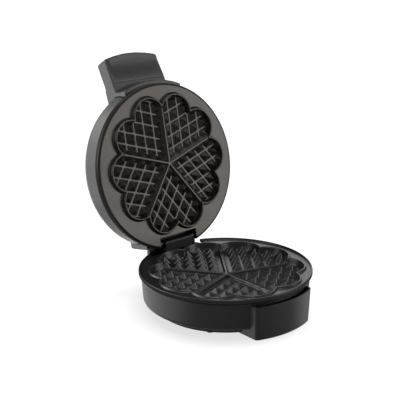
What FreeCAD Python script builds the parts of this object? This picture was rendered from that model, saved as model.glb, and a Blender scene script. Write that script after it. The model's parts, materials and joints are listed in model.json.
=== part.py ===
import FreeCAD, Part
import Sketcher
import math
import os
from FreeCAD import Vector, Placement, Rotation

# ---------------------------------------------------------------------------
# Waffle maker with two round baking plates of five hearts, shown with its lid
# open. Millimetres, +Z up, handle towards -Y, hinge towards +Y.
# Base pieces are drawn with z = 0 in the plane where the two rims meet; their
# placement lifts them so that the feet stand on z = 0. Lid pieces are drawn
# shut, or face up for the plate group, and are then swung open on the pin.
# ---------------------------------------------------------------------------

doc = FreeCAD.newDocument("waffle_maker")
sheet = doc.addObject("Spreadsheet::Sheet", "Dims")

TABLE = [
    # overall
    ("rim_rad", 104.0, "outer radius of both plate rims"),
    ("rim_height", 50.0, "rim plane above the surface it stands on"),
    ("centre_y", 45.06, "offset from the base centre to the middle of the open box"),
    ("hinge_y", 95.0, "hinge axis behind the base centre"),
    ("hinge_z", 8.2, "hinge axis above the rim plane"),
    ("open_deg", 101.5, "how far the lid is swung open"),
    ("lid_gap", 0.4, "gap left between the rims when shut"),
    # plates
    ("flange_drop", 2.4, "flange below the rim"),
    ("lip_low", 4.2, "visible edge of the lower plate"),
    ("lip_up", 6.6, "visible edge of the upper plate"),
    ("seat_rad", 100.6, "plate spigot above the housing wall"),
    ("seat_in", 97.4, "inner edge of the plate seat"),
    ("core_rad", 94.0, "thick middle of the plates"),
    ("core_low", 14.5, "underside of the lower plate"),
    ("core_up", 10.5, "back of the upper plate"),
    ("pat_off", 3.7, "heart pattern shifted towards the handle"),
    ("lobe_ring", 64.0, "lobe centres"),
    ("lobe_phi", 18.5, "lobe centre angle from its divider"),
    ("lobe_low", 28.9, "lobe radius on the lower lip"),
    ("lobe_up", 23.1, "lobe radius on the upper crest"),
    ("lip_wide", 1.8, "width of the lip top"),
    ("lip_run", 1.5, "run of the lower lip's outer slope"),
    ("well_low", 10.5, "depth of the lower hearts"),
    ("wall_run", 4.6, "run of the heart walls"),
    ("crest_up", 5.2, "crest of the upper hearts beyond the rim plane"),
    ("crest_wide", 1.4, "width of the crest top"),
    ("crest_run", 1.6, "run of the crest's outer slope"),
    ("well_up", 2.0, "floor of the upper hearts behind the rim plane"),
    ("well_up_run", 1.0, "run of the upper heart walls"),
    ("div_low", 7.2, "divider tops below the rim plane"),
    ("div_up", 4.0, "divider tops beyond the rim plane, upper"),
    ("div_low_top", 4.8, "lower divider top width"),
    ("div_low_foot", 8.4, "lower divider foot width"),
    ("div_up_top", 2.2, "upper divider top width"),
    ("div_up_foot", 12.4, "upper divider foot width"),
    ("stud_pitch", 15.185, "stud pitch along the dividers"),
    ("stud_low_at", 15.0, "first lower stud from the divider axes"),
    ("stud_up_at", 6.65, "first upper stud from the divider axes"),
    ("stud_half", 6.49, "half the stud's side at its foot"),
    ("stud_run", 5.4, "run of the stud's flanks"),
    ("stud_low", 5.2, "lower stud tops below the rim plane"),
    ("stud_up", 3.4, "upper stud tops beyond the rim plane"),
    # housings
    ("wall", 2.6, "housing wall"),
    ("base_top_rad", 101.2, "housing wall at its top edge"),
    ("base_low_rad", 99.1, "housing wall at its bottom edge"),
    ("base_seat", 6.8, "top edge of the base housing below the rim plane"),
    ("base_low", 39.6, "bottom edge of the base housing below the rim plane"),
    ("pocket_rad", 108.4, "outer face of the front pocket"),
    ("pocket_half", 44.0, "half width of the front pocket"),
    ("pocket_top", 9.4, "top edge of the front pocket below the rim plane"),
    ("pocket_low", 49.2, "bottom of the front pocket below the rim plane"),
    ("pocket_wall", 2.2, "pocket wall"),
    ("pocket_draft", 2.4, "draft of the pocket faces, degrees"),
    ("rear_low", 47.8, "bottom of the rear housing below the rim plane"),
    ("lid_bot_rad", 101.4, "lid wall at its lower edge"),
    ("shoulder", 10.0, "rounding of the lid shoulder"),
    ("rear_half", 43.0, "half width of the rear housing"),
    ("rear_y", 106.0, "rear face of the rear housing"),
    ("pan_rad", 85.6, "bottom pan at its lower edge"),
    ("pan_top_rad", 89.0, "bottom pan at its upper edge"),
    ("pan_low", 47.6, "bottom pan underside"),
    ("foot_rad", 6.5, "foot radius"),
    # lid
    ("lid_low", 9.6, "lower edge of the lid wall"),
    ("lid_wall_top", 39.0, "end of the straight lid wall"),
    ("lid_top_rad", 102.4, "lid wall at the shoulder"),
    ("lid_edge_rad", 86.5, "inner edge of the shoulder"),
    ("lid_edge_z", 39.8, "height of the shoulder's inner edge"),
    ("panel_rise", 5.0, "dome of the top panel"),
    ("lid_rear_y", 99.8, "flat rear face of the lid"),
    ("lid_rear_half", 44.0, "half width of the lid's rear housing"),
    ("lid_rear_top", 46.0, "top of the lid's rear housing"),
    ("notch_half", 29.2, "half width of the hinge notch in the lid"),
    ("notch_top", 16.5, "roof of the hinge notch in the lid"),
    # handle
    ("handle_half", 43.4, "half width of the handle leg"),
    ("paddle_half", 41.0, "half width of the paddle"),
    ("paddle_tilt", 18.43, "rise of the paddle towards its end, degrees"),
    ("paddle_thick", 20.0, "thickness of the paddle"),
    ("paddle_rad", 140.2, "rounding of the paddle's end in plan"),
    ("paddle_end", 27.8, "end of the paddle from its reference point"),
    ("paddle_y", 121.0, "reference point of the paddle in front of the lid centre"),
    ("paddle_z", 38.8, "underside of the paddle at its reference point"),
    ("leg_low", 8.1, "bottom of the handle leg"),
    ("leg_rad", 108.7, "outer face of the handle leg"),
    # hinge
    ("block_half", 21.5, "half width of the hinge block"),
    ("ear_in", 22.3, "inner face of the lid ears"),
    ("ear_out", 26.6, "outer face of the lid ears"),
    ("pin_rad", 2.5, "hinge pin radius"),
    ("ear_bore", 2.56, "bore radius in the lid ears"),
    # inside
    ("tube_rad", 3.3, "heater tube radius"),
    ("coil_rad", 58.0, "heater ring radius"),
    ("shield_rad", 72.0, "heat shield radius"),
    ("wire_rad", 1.2, "lead radius"),
    ("inlet_rad", 6.0, "cord inlet hole radius"),
    ("grommet_bore", 3.6, "bore of the inlet grommet"),
]
for row, (alias, value, note) in enumerate(TABLE, start=1):
    sheet.set("A%d" % row, note)
    sheet.set("B%d" % row, "%g" % value)
    sheet.setAlias("B%d" % row, alias)
doc.recompute()


class Dim:
    """A sheet value with the expression that binds it."""

    def __init__(self, value, text):
        self.value = float(value)
        self.text = text

    def __add__(self, other):
        other = dim(other)
        return Dim(self.value + other.value, "(%s + %s)" % (self.text, other.text))

    def __radd__(self, other):
        return dim(other) + self

    def __sub__(self, other):
        other = dim(other)
        return Dim(self.value - other.value, "(%s - %s)" % (self.text, other.text))

    def __rsub__(self, other):
        return dim(other) - self

    def __mul__(self, other):
        other = dim(other)
        return Dim(self.value * other.value, "(%s * %s)" % (self.text, other.text))

    def __rmul__(self, other):
        return dim(other) * self

    def __truediv__(self, other):
        other = dim(other)
        return Dim(self.value / other.value, "(%s / %s)" % (self.text, other.text))

    def __neg__(self):
        return Dim(-self.value, "(0 - %s)" % self.text)


def dim(v):
    if isinstance(v, Dim):
        return v
    return Dim(v, "%.5f" % v if v >= 0 else "(0 - %.5f)" % -v)


class Sizes:
    pass


d = Sizes()
for alias, value, note in TABLE:
    setattr(d, alias, Dim(sheet.get(alias), "Dims." + alias))


# ---------------------------------------------------------------------------
# placements
# ---------------------------------------------------------------------------
def base_placement():
    return Placement(Vector(0, -d.centre_y.value, d.rim_height.value), Rotation())


def lid_placement():
    hinge = Vector(0, d.hinge_y.value, d.hinge_z.value)
    swing = Placement(Vector(0, 0, 0), Rotation(Vector(1, 0, 0), -d.open_deg.value), hinge)
    return base_placement().multiply(swing)


def plate_placement():
    # face-up plate group turned over about Y and lifted by the rim gap
    flip = Placement(Vector(0, 0, d.lid_gap.value), Rotation(Vector(0, 1, 0), 180))
    return lid_placement().multiply(flip)


NODES = []


def keep(obj, label, placement):
    obj.Label = label
    obj.Placement = placement
    NODES.append(obj)
    return obj


# ---------------------------------------------------------------------------
# sketch helpers
# ---------------------------------------------------------------------------
def bind(obj, prop, value):
    obj.setExpression(prop, dim(value).text)


def new_body(name):
    return doc.addObject("PartDesign::Body", name)


def origin_plane(body, role):
    for feature in body.Origin.OriginFeatures:
        if feature.Role == role:
            return feature


def sketch(body, name, role="XY_Plane", shift=0, off_y=0, off_x=0):
    sk = body.newObject("Sketcher::SketchObject", name)
    sk.AttachmentSupport = [(origin_plane(body, role), "")]
    sk.MapMode = "FlatFace"
    shift, off_y, off_x = dim(shift), dim(off_y), dim(off_x)
    sk.AttachmentOffset = Placement(Vector(off_x.value, off_y.value, shift.value), Rotation())
    sk.setExpression("AttachmentOffset.Base.z", shift.text)
    if off_y.value:
        sk.setExpression("AttachmentOffset.Base.y", off_y.text)
    if off_x.value:
        sk.setExpression("AttachmentOffset.Base.x", off_x.text)
    return sk


def constrain(sk, kind, args, value):
    value = dim(value)
    index = sk.addConstraint(Sketcher.Constraint(kind, *args, value.value))
    name = "c%d" % index
    sk.renameConstraint(index, name)
    sk.setExpression("Constraints." + name, value.text)


def pin_point(sk, geo, pos, x, y):
    x, y = dim(x), dim(y)
    if abs(x.value) < 1e-9:
        sk.addConstraint(Sketcher.Constraint("PointOnObject", geo, pos, -2))
    else:
        constrain(sk, "DistanceX", (-1, 1, geo, pos), x)
    if abs(y.value) < 1e-9:
        sk.addConstraint(Sketcher.Constraint("PointOnObject", geo, pos, -1))
    else:
        constrain(sk, "DistanceY", (-1, 1, geo, pos), y)


def polygon(sk, points):
    pts = [(dim(a), dim(b)) for a, b in points]
    n = len(pts)
    geo = []
    for i in range(n):
        a, b = pts[i], pts[(i + 1) % n]
        geo.append(sk.addGeometry(Part.LineSegment(
            Vector(a[0].value, a[1].value, 0), Vector(b[0].value, b[1].value, 0)), False))
    for i in range(n):
        sk.addConstraint(Sketcher.Constraint("Coincident", geo[i], 2, geo[(i + 1) % n], 1))
    for i in range(n):
        pin_point(sk, geo[i], 1, pts[i][0], pts[i][1])


def rect(sk, x0, x1, y0, y1):
    polygon(sk, [(x0, y0), (x1, y0), (x1, y1), (x0, y1)])


def circle(sk, x, y, radius):
    x, y, radius = dim(x), dim(y), dim(radius)
    g = sk.addGeometry(Part.Circle(Vector(x.value, y.value, 0), Vector(0, 0, 1), radius.value), False)
    constrain(sk, "Radius", (g,), radius)
    pin_point(sk, g, 3, x, y)


def arc_at_origin(sk, radius, a0, a1):
    radius = dim(radius)
    g = sk.addGeometry(Part.ArcOfCircle(
        Part.Circle(Vector(0, 0, 0), Vector(0, 0, 1), radius.value), a0, a1), False)
    sk.addConstraint(Sketcher.Constraint("Coincident", g, 3, -1, 1))
    constrain(sk, "Radius", (g,), radius)
    return g


def front_band(sk, half, r_in, r_out):
    """Ring sector on the -Y side, cut by the planes x = -half and x = half."""
    half, r_in, r_out = dim(half), dim(r_in), dim(r_out)
    w = half.value
    yo = -math.sqrt(r_out.value ** 2 - w * w)
    yi = -math.sqrt(r_in.value ** 2 - w * w)
    go = arc_at_origin(sk, r_out, math.atan2(yo, -w), math.atan2(yo, w))
    right = sk.addGeometry(Part.LineSegment(Vector(w, yo, 0), Vector(w, yi, 0)), False)
    gi = arc_at_origin(sk, r_in, math.atan2(yi, -w), math.atan2(yi, w))
    left = sk.addGeometry(Part.LineSegment(Vector(-w, yi, 0), Vector(-w, yo, 0)), False)
    sk.addConstraint(Sketcher.Constraint("Coincident", go, 2, right, 1))
    sk.addConstraint(Sketcher.Constraint("Coincident", right, 2, gi, 2))
    sk.addConstraint(Sketcher.Constraint("Coincident", gi, 1, left, 1))
    sk.addConstraint(Sketcher.Constraint("Coincident", left, 2, go, 1))
    sk.addConstraint(Sketcher.Constraint("Vertical", right))
    sk.addConstraint(Sketcher.Constraint("Vertical", left))
    constrain(sk, "DistanceX", (-1, 1, right, 1), half)
    constrain(sk, "DistanceX", (-1, 1, left, 1), -half)


def rear_band(sk, half, r_in, y_out):
    """Area between an arc about the origin and a straight rear edge."""
    half, r_in, y_out = dim(half), dim(r_in), dim(y_out)
    w = half.value
    yi = math.sqrt(r_in.value ** 2 - w * w)
    yo = y_out.value
    gi = arc_at_origin(sk, r_in, math.atan2(yi, w), math.atan2(yi, -w))
    left = sk.addGeometry(Part.LineSegment(Vector(-w, yi, 0), Vector(-w, yo, 0)), False)
    back = sk.addGeometry(Part.LineSegment(Vector(-w, yo, 0), Vector(w, yo, 0)), False)
    right = sk.addGeometry(Part.LineSegment(Vector(w, yo, 0), Vector(w, yi, 0)), False)
    sk.addConstraint(Sketcher.Constraint("Coincident", gi, 2, left, 1))
    sk.addConstraint(Sketcher.Constraint("Coincident", left, 2, back, 1))
    sk.addConstraint(Sketcher.Constraint("Coincident", back, 2, right, 1))
    sk.addConstraint(Sketcher.Constraint("Coincident", right, 2, gi, 1))
    sk.addConstraint(Sketcher.Constraint("Vertical", left))
    sk.addConstraint(Sketcher.Constraint("Vertical", right))
    pin_point(sk, left, 2, -half, y_out)
    pin_point(sk, right, 1, half, y_out)


def lobe_centres(ring):
    ring = dim(ring)
    angles = []
    for k in range(5):
        angles += [72 * k + d.lobe_phi.value, 72 * (k + 1) - d.lobe_phi.value]
    out = []
    for a in angles:
        r = math.radians(a)
        out.append((ring * math.sin(r), ring * -math.cos(r)))
    return out


def hearts(sk, rad):
    """Outline of the five joined hearts: ten arcs about the sketch origin."""
    rad = dim(rad)
    cs = lobe_centres(d.lobe_ring)
    n = len(cs)
    rv = rad.value
    pts = []
    for i in range(n):
        x0, y0 = cs[i][0].value, cs[i][1].value
        x1, y1 = cs[(i + 1) % n][0].value, cs[(i + 1) % n][1].value
        mx, my = (x0 + x1) / 2, (y0 + y1) / 2
        dx, dy = x1 - x0, y1 - y0
        span = math.hypot(dx, dy)
        rise = math.sqrt(rv * rv - span * span / 4)
        nx, ny = dy / span, -dx / span
        if nx * mx + ny * my < 0:
            nx, ny = -nx, -ny
        pts.append((mx + nx * rise, my + ny * rise))
    geo = []
    for i in range(n):
        cx, cy = cs[i][0].value, cs[i][1].value
        a0 = math.atan2(pts[i - 1][1] - cy, pts[i - 1][0] - cx)
        a1 = math.atan2(pts[i][1] - cy, pts[i][0] - cx)
        while a1 < a0:
            a1 += 2 * math.pi
        geo.append(sk.addGeometry(Part.ArcOfCircle(
            Part.Circle(Vector(cx, cy, 0), Vector(0, 0, 1), rv), a0, a1), False))
    for i in range(n):
        sk.addConstraint(Sketcher.Constraint("Coincident", geo[i], 2, geo[(i + 1) % n], 1))
    for i in range(n):
        constrain(sk, "Radius", (geo[i],), rad)
        pin_point(sk, geo[i], 3, cs[i][0], cs[i][1])


# ---------------------------------------------------------------------------
# feature helpers
# ---------------------------------------------------------------------------
def revolve(body, name, points):
    sk = sketch(body, name + "_profile", "XZ_Plane")
    polygon(sk, points)
    f = body.newObject("PartDesign::Revolution", name)
    f.Profile = sk
    f.ReferenceAxis = (sk, ["V_Axis"])
    f.Angle = 360
    doc.recompute()
    return f


def groove(body, name, points):
    sk = sketch(body, name + "_profile", "XZ_Plane")
    polygon(sk, points)
    before = body.Shape.Volume
    f = body.newObject("PartDesign::Groove", name)
    f.Profile = sk
    f.ReferenceAxis = (sk, ["V_Axis"])
    f.Angle = 360
    doc.recompute()
    if not body.Shape.Volume < before - 1e-6:
        raise RuntimeError(name + " removed nothing")
    return f


def pad(body, sk, name, length, taper=None, down=False):
    f = body.newObject("PartDesign::Pad", name)
    f.Profile = sk
    f.Reversed = down
    bind(f, "Length", length)
    if taper is not None:
        bind(f, "TaperAngle", taper)
    doc.recompute()
    return f


def pocket(body, sk, name, length, taper=None, up=False):
    before = body.Shape.Volume
    f = body.newObject("PartDesign::Pocket", name)
    f.Profile = sk
    f.Reversed = up
    bind(f, "Length", length)
    if taper is not None:
        bind(f, "TaperAngle", taper)
    doc.recompute()
    if not body.Shape.Volume < before - 1e-6:
        raise RuntimeError(name + " removed nothing")
    return f


def slope(run, rise):
    """Draft angle, in degrees, of a wall that runs in by run over rise."""
    run, rise = dim(run), dim(rise)
    return Dim(math.degrees(math.atan2(run.value, rise.value)),
               "(atan(%s / %s) / 1 deg)" % (run.text, rise.text))


def round_edges(body, name, radius, pick):
    doc.recompute()
    tip = body.Tip
    names = ["Edge%d" % (i + 1) for i, e in enumerate(tip.Shape.Edges) if pick(e)]
    if not names:
        raise RuntimeError(name + " found no edge")
    f = body.newObject("PartDesign::Fillet", name)
    f.Base = (tip, names)
    f.Radius = radius
    doc.recompute()
    return f


def mid(e):
    return e.valueAt((e.FirstParameter + e.LastParameter) / 2)


def edge_length(e):
    return e.Length


def screw(name, x, y, z, head_rad, head_len, shank_rad, shank_len, axis=(0, 0, 1)):
    """Pan-head screw: head underside at (x, y, z), shank along axis."""
    head = doc.addObject("Part::Cylinder", name + "_head")
    head.Radius = head_rad
    head.Height = head_len
    head.Placement = Placement(Vector(0, 0, -head_len), Rotation())
    shank = doc.addObject("Part::Cylinder", name + "_shank")
    shank.Radius = shank_rad
    shank.Height = shank_len
    cross = doc.addObject("Part::Box", name + "_slot")
    cross.Length = head_rad * 1.3
    cross.Width = head_rad * 0.28
    cross.Height = head_len * 0.5
    cross.Placement = Placement(Vector(-head_rad * 0.65, -head_rad * 0.14, -head_len), Rotation())
    cross2 = doc.addObject("Part::Box", name + "_slot2")
    cross2.Length = head_rad * 0.28
    cross2.Width = head_rad * 1.3
    cross2.Height = head_len * 0.5
    cross2.Placement = Placement(Vector(-head_rad * 0.14, -head_rad * 0.65, -head_len), Rotation())
    drive = doc.addObject("Part::Fuse", name + "_drive")
    drive.Base, drive.Tool = cross, cross2
    solid = doc.addObject("Part::Fuse", name + "_blank")
    solid.Base, solid.Tool = head, shank
    cut = doc.addObject("Part::Cut", name)
    cut.Base, cut.Tool = solid, drive
    cut.Placement = Placement(Vector(x, y, z), Rotation(Vector(0, 0, 1), Vector(*axis)))
    return cut


def group(label, parts, placement):
    c = doc.addObject("Part::Compound", label)
    c.Links = parts
    doc.recompute()
    return keep(c, label, placement)


def tube(name, points, bend, radius):
    """Round lead along straight runs joined by tangent arcs."""
    pts = [Vector(*p) for p in points]
    edges = []
    start = pts[0]
    length = 0.0
    for i in range(1, len(pts) - 1):
        u = (pts[i - 1] - pts[i]).normalize()
        v = (pts[i + 1] - pts[i]).normalize()
        half = u.getAngle(v) / 2
        back = bend / math.tan(half)
        a = pts[i] + u * back
        b = pts[i] + v * back
        bis = (u + v).normalize()
        m = pts[i] + bis * (bend / math.sin(half) - bend)
        edges.append(Part.LineSegment(start, a).toShape())
        edges.append(Part.Arc(a, m, b).toShape())
        start = b
    edges.append(Part.LineSegment(start, pts[-1]).toShape())
    wire = Part.Wire(edges)
    length = wire.Length
    first = (pts[1] - pts[0]).normalize()
    ring = Part.Wire([Part.Circle(pts[0], first, radius).toShape()])
    solid = wire.makePipeShell([ring], True, True)
    if abs(solid.Volume - math.pi * radius ** 2 * length) > 0.02 * solid.Volume:
        raise RuntimeError(name + " has the wrong volume")
    obj = doc.addObject("Part::Feature", name)
    obj.Shape = solid
    return obj


# ===========================================================================
# baking plates
# ===========================================================================
def inside_hearts(x, y, rad):
    if math.hypot(x, y) < 58:
        return True
    for cx, cy in lobe_centres(d.lobe_ring):
        if math.hypot(x - cx.value, y - cy.value) < rad:
            return True
    return False


def stud_reaches_out(s, t, bound, rise, bx, by):
    """True if the stud's flank would show above the flange outside the crest."""
    x, y = t * bx, t * by - s
    high = math.sin(math.radians(72))
    for k in range(72):
        ux, uy = math.cos(math.radians(5 * k)), math.sin(math.radians(5 * k))
        run = 0.0
        while run < 14 and inside_hearts(x + ux * run, y + uy * run, bound):
            run += 0.2
        px, py = x + ux * run, y + uy * run
        dt = px / bx - t
        ds = -py - (t + dt) * -by - s
        off = max(abs(dt), abs(ds)) * high
        top = d.stud_half.value * high - d.stud_run.value
        if rise - max(off - top, 0) * rise / d.stud_run.value > d.well_up.value - 0.15:
            return True
    return False


def heart_grid(body, tag, floor, rise, div_top, div_foot, stud_rise, first, near, reach, bound=None):
    """A divider and the rhombic studs of one heart, repeated for the five hearts."""
    sk = sketch(body, tag + "_divider_sk", "XY_Plane", floor, -d.pat_off)
    rect(sk, -div_foot / 2, div_foot / 2, -reach, 3.2)
    p1 = pad(body, sk, tag + "_divider", rise, -slope((div_foot - div_top) / 2, rise))
    ss = sketch(body, tag + "_studs_sk", "XY_Plane", floor, -d.pat_off)
    bx, by = math.sin(math.radians(72)), -math.cos(math.radians(72))
    h = d.stud_half
    for i in range(6):
        for j in range(6):
            s, t = first + d.stud_pitch * i, first + d.stud_pitch * j
            if not inside_hearts(t.value * bx, t.value * by - s.value, near):
                continue
            if bound and stud_reaches_out(s.value, t.value, bound, stud_rise.value, bx, by):
                continue
            # corners in steps along the two divider directions
            ring = [(s - h, t - h), (s + h, t - h), (s + h, t + h), (s - h, t + h)]
            polygon(ss, [(v * bx, v * by - u) for u, v in ring])
    p2 = pad(body, ss, tag + "_studs", stud_rise, -slope(d.stud_run, stud_rise))
    pat = body.newObject("PartDesign::PolarPattern", tag + "_five_hearts")
    pat.Originals = [p1, p2]
    pat.Axis = (sk, ["N_Axis"])
    pat.Angle = 360
    pat.Occurrences = 5
    body.Tip = pat
    doc.recompute()
    return pat


# --- lower plate: female hearts -------------------------------------------
lower = new_body("lower_plate_body")
revolve(lower, "lower_pan", [
    (0, -d.core_low), (d.core_rad, -d.core_low), (d.core_rad, -8.6), (d.seat_in, -8.6),
    (d.seat_in, -d.base_seat), (d.seat_rad, -d.base_seat), (d.seat_rad, -d.lip_low),
    (d.rim_rad, -d.lip_low), (d.rim_rad, -0.7), (d.rim_rad - 0.7, 0), (d.rim_rad - 1.4, 0),
    (d.rim_rad - 1.9, -0.5), (d.rim_rad - 2.3, -d.flange_drop), (0, -d.flange_drop)])
sk = sketch(lower, "lower_lip_sk", "XY_Plane", -d.flange_drop, -d.pat_off)
hearts(sk, d.lobe_low + d.lip_wide / 2 + d.lip_run)
pad(lower, sk, "lower_lip", d.flange_drop, -slope(d.lip_run, d.flange_drop))
sk = sketch(lower, "lower_well_sk", "XY_Plane", 0, -d.pat_off)
hearts(sk, d.lobe_low - d.lip_wide / 2)
pocket(lower, sk, "lower_well", d.well_low, -slope(d.wall_run, d.well_low))
# rear of the rim cut away so that the lid rim can swing down past it
sk = sketch(lower, "lower_rear_gap_sk", "XY_Plane", 2)
rect(sk, -41, 41, 88, 110)
pocket(lower, sk, "lower_rear_gap", d.lip_low + 2)
sk = sketch(lower, "lower_block_gap_sk", "XY_Plane", 2)
rect(sk, -d.block_half - 0.8, d.block_half + 0.8, 86.4, 110)
pocket(lower, sk, "lower_block_gap", 20)
# screw bosses for the housing lugs and posts for the heat shield
sk = sketch(lower, "lower_boss_sk", "XY_Plane", -d.core_low)
for x, y in ((-88, 0), (88, 0), (0, -88)):
    circle(sk, x, y, 4.6)
pad(lower, sk, "lower_bosses", 3.5, down=True)
POSTS = [(34 * math.cos(math.radians(a)), 34 * math.sin(math.radians(a))) for a in (90, 210, 330)]
sk = sketch(lower, "lower_post_sk", "XY_Plane", -d.core_low)
for x, y in POSTS:
    circle(sk, x, y, 4.5)
pad(lower, sk, "lower_posts", 10.5, down=True)
sk = sketch(lower, "lower_boss_hole_sk", "XY_Plane", -18.0)
for x, y in ((-88, 0), (88, 0), (0, -88)):
    circle(sk, x, y, 1.55)
pocket(lower, sk, "lower_boss_holes", 7, up=True)
sk = sketch(lower, "lower_post_hole_sk", "XY_Plane", -25.0)
for x, y in POSTS:
    circle(sk, x, y, 1.55)
pocket(lower, sk, "lower_post_holes", 9, up=True)
CLAMPS = (15, 165, 270)


def clamp_screw_points():
    out = []
    for a in CLAMPS:
        for r in (d.coil_rad.value - 9.5, d.coil_rad.value + 9.5):
            out.append((r * math.cos(math.radians(a)), r * math.sin(math.radians(a))))
    return out


sk = sketch(lower, "lower_clamp_hole_sk", "XY_Plane", -d.core_low)
for x, y in clamp_screw_points():
    circle(sk, x, y, 1.3)
pocket(lower, sk, "lower_clamp_holes", 3.6, up=True)
heart_grid(lower, "lower", -d.well_low, d.well_low - d.div_low, d.div_low_top, d.div_low_foot,
           d.well_low - d.stud_low, d.stud_low_at, 17.0, 80.0)
keep(lower, "lower_plate", base_placement())

# --- upper plate: male hearts, drawn face up ------------------------------
upper = new_body("upper_plate_body")
revolve(upper, "upper_pan", [
    (0, -d.core_up), (96.0, -d.core_up), (d.seat_in, -9.2), (d.seat_rad, -9.2), (d.seat_rad, -d.lip_up),
    (d.rim_rad, -d.lip_up), (d.rim_rad, -0.7), (d.rim_rad - 0.7, 0), (0, 0)])
sk = sketch(upper, "upper_crest_sk", "XY_Plane", 0, -d.pat_off)
hearts(sk, d.lobe_up + d.crest_wide / 2 + d.crest_run)
pad(upper, sk, "upper_crest", d.crest_up, -slope(d.crest_run, d.crest_up))
sk = sketch(upper, "upper_well_sk", "XY_Plane", d.crest_up, -d.pat_off)
hearts(sk, d.lobe_up - d.crest_wide / 2)
pocket(upper, sk, "upper_well", d.crest_up + d.well_up, -slope(d.well_up_run, d.crest_up + d.well_up))
# notch for the hinge block and the lid ears
sk = sketch(upper, "upper_notch_sk", "XY_Plane", 2)
rect(sk, -d.notch_half, d.notch_half, 85.6, 110)
pocket(upper, sk, "upper_notch", 20)
sk = sketch(upper, "upper_boss_sk", "XY_Plane", -d.core_up)
for x, y in ((-88, 0), (88, 0), (0, -86)):
    circle(sk, x, y, 4.6)
pad(upper, sk, "upper_bosses", 3.5, down=True)
sk = sketch(upper, "upper_post_sk", "XY_Plane", -d.core_up)
for x, y in POSTS:
    circle(sk, x, y, 4.5)
pad(upper, sk, "upper_posts", 10.5, down=True)
sk = sketch(upper, "upper_boss_hole_sk", "XY_Plane", -14.0)
for x, y in ((-88, 0), (88, 0), (0, -86)):
    circle(sk, x, y, 1.55)
pocket(upper, sk, "upper_boss_holes", 7, up=True)
sk = sketch(upper, "upper_post_hole_sk", "XY_Plane", -21.0)
for x, y in POSTS:
    circle(sk, x, y, 1.55)
pocket(upper, sk, "upper_post_holes", 9, up=True)
sk = sketch(upper, "upper_clamp_hole_sk", "XY_Plane", -d.core_up)
for x, y in clamp_screw_points():
    circle(sk, x, y, 1.3)
pocket(upper, sk, "upper_clamp_holes", 3.6, up=True)
heart_grid(upper, "upper", -d.well_up, d.well_up + d.div_up, d.div_up_top, d.div_up_foot,
           d.well_up + d.stud_up, d.stud_up_at, 17.0, 76.0,
           (d.lobe_up + d.crest_wide / 2 + d.crest_run).value)
keep(upper, "upper_plate", plate_placement())

# ===========================================================================
# base housing
# ===========================================================================
shell = new_body("base_shell_body")
revolve(shell, "base_wall", [
    (d.base_top_rad, -d.base_seat), (d.base_low_rad, -d.base_low), (86, -d.base_low),
    (86, -d.base_low + 2.5), (d.base_low_rad - d.wall, -d.base_low + 2.5),
    (d.base_top_rad - d.wall, -d.base_seat)])
round_edges(shell, "base_edge", 5.6, lambda e: len(e.Vertexes) == 1 and abs(e.BoundBox.ZMin + d.base_low.value) < 1e-4
            and e.BoundBox.XMax > 90)
# front pocket, its faces drafted towards the bottom
split = 36.6
run_in = (split - d.pocket_top) * math.tan(math.radians(d.pocket_draft.value))
sk = sketch(shell, "pocket_upper_sk", "XY_Plane", -d.pocket_top)
front_band(sk, d.pocket_half, 95.0, d.pocket_rad)
pad(shell, sk, "pocket_upper", split - d.pocket_top, -d.pocket_draft, down=True)
sk = sketch(shell, "pocket_lower_sk", "XY_Plane", -split)
front_band(sk, d.pocket_half - run_in, 79.0, d.pocket_rad - run_in)
pad(shell, sk, "pocket_lower", d.pocket_low - split, -d.pocket_draft, down=True)


def pocket_corner(e):
    m = mid(e)
    if e.BoundBox.ZLength < 4 or m.y > -90:
        return False
    fall = (-d.pocket_top.value - m.z) * math.tan(math.radians(d.pocket_draft.value))
    return (abs(abs(m.x) - (d.pocket_half.value - fall)) < 0.05
            and abs(math.hypot(m.x, m.y) - (d.pocket_rad.value - fall)) < 0.3)


round_edges(shell, "pocket_corners", 5.0, pocket_corner)
# rear housing, with a raised ledge behind the hinge that stops the open lid
sk = sketch(shell, "rear_upper_sk", "XY_Plane", -split)
rear_band(sk, d.rear_half, 97.8, d.rear_y)
pad(shell, sk, "rear_upper", split - d.base_seat)
sk = sketch(shell, "rear_lower_sk", "XY_Plane", -d.rear_low)
rear_band(sk, d.rear_half, 90.2, d.rear_y)
pad(shell, sk, "rear_lower", d.rear_low - split)
round_edges(shell, "rear_corners", 6.0, lambda e: e.BoundBox.ZLength > 4 and abs(abs(mid(e).x) - d.rear_half.value) < 1e-3
            and abs(mid(e).y - d.rear_y.value) < 1e-3)
sk = sketch(shell, "stop_sk", "YZ_Plane", -37.0)
polygon(sk, [(100.4, -d.base_seat - 1), (d.rear_y, -d.base_seat - 1), (d.rear_y, 0.68), (100.4, 1.8)])
pad(shell, sk, "stop_ledge", 74.0)
# hollow of the front pocket, open at the top
sk = sketch(shell, "pocket_slot_sk", "XY_Plane", -d.pocket_top)
front_band(sk, d.pocket_half - d.pocket_wall - 1.2, 101.25, d.pocket_rad - d.pocket_wall)
pocket(shell, sk, "pocket_slot", d.pocket_low - d.pocket_top - 3.6, dim(-1.6))
# front block hollowed from inside
sk = sketch(shell, "front_hollow_sk", "XY_Plane", -split + 0.5)
front_band(sk, 40.0, 81.8, 97.0)
pocket(shell, sk, "front_hollow", 10.4)
# hollow of the rear housing, open to the inside
sk = sketch(shell, "rear_hollow_sk", "XY_Plane", -d.base_seat - 2.6)
rear_band(sk, d.rear_half - 3.0, 92.6, d.rear_y - 3.0)
pocket(shell, sk, "rear_hollow", d.rear_low - 3.0 - d.base_seat - 2.6)
# seat under the hinge block
sk = sketch(shell, "block_seat_sk", "XY_Plane", -d.base_seat - 2.6)
rect(sk, -d.block_half - 0.4, d.block_half + 0.4, 86.8, 99.0)
pad(shell, sk, "block_seat", 2.6)
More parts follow.
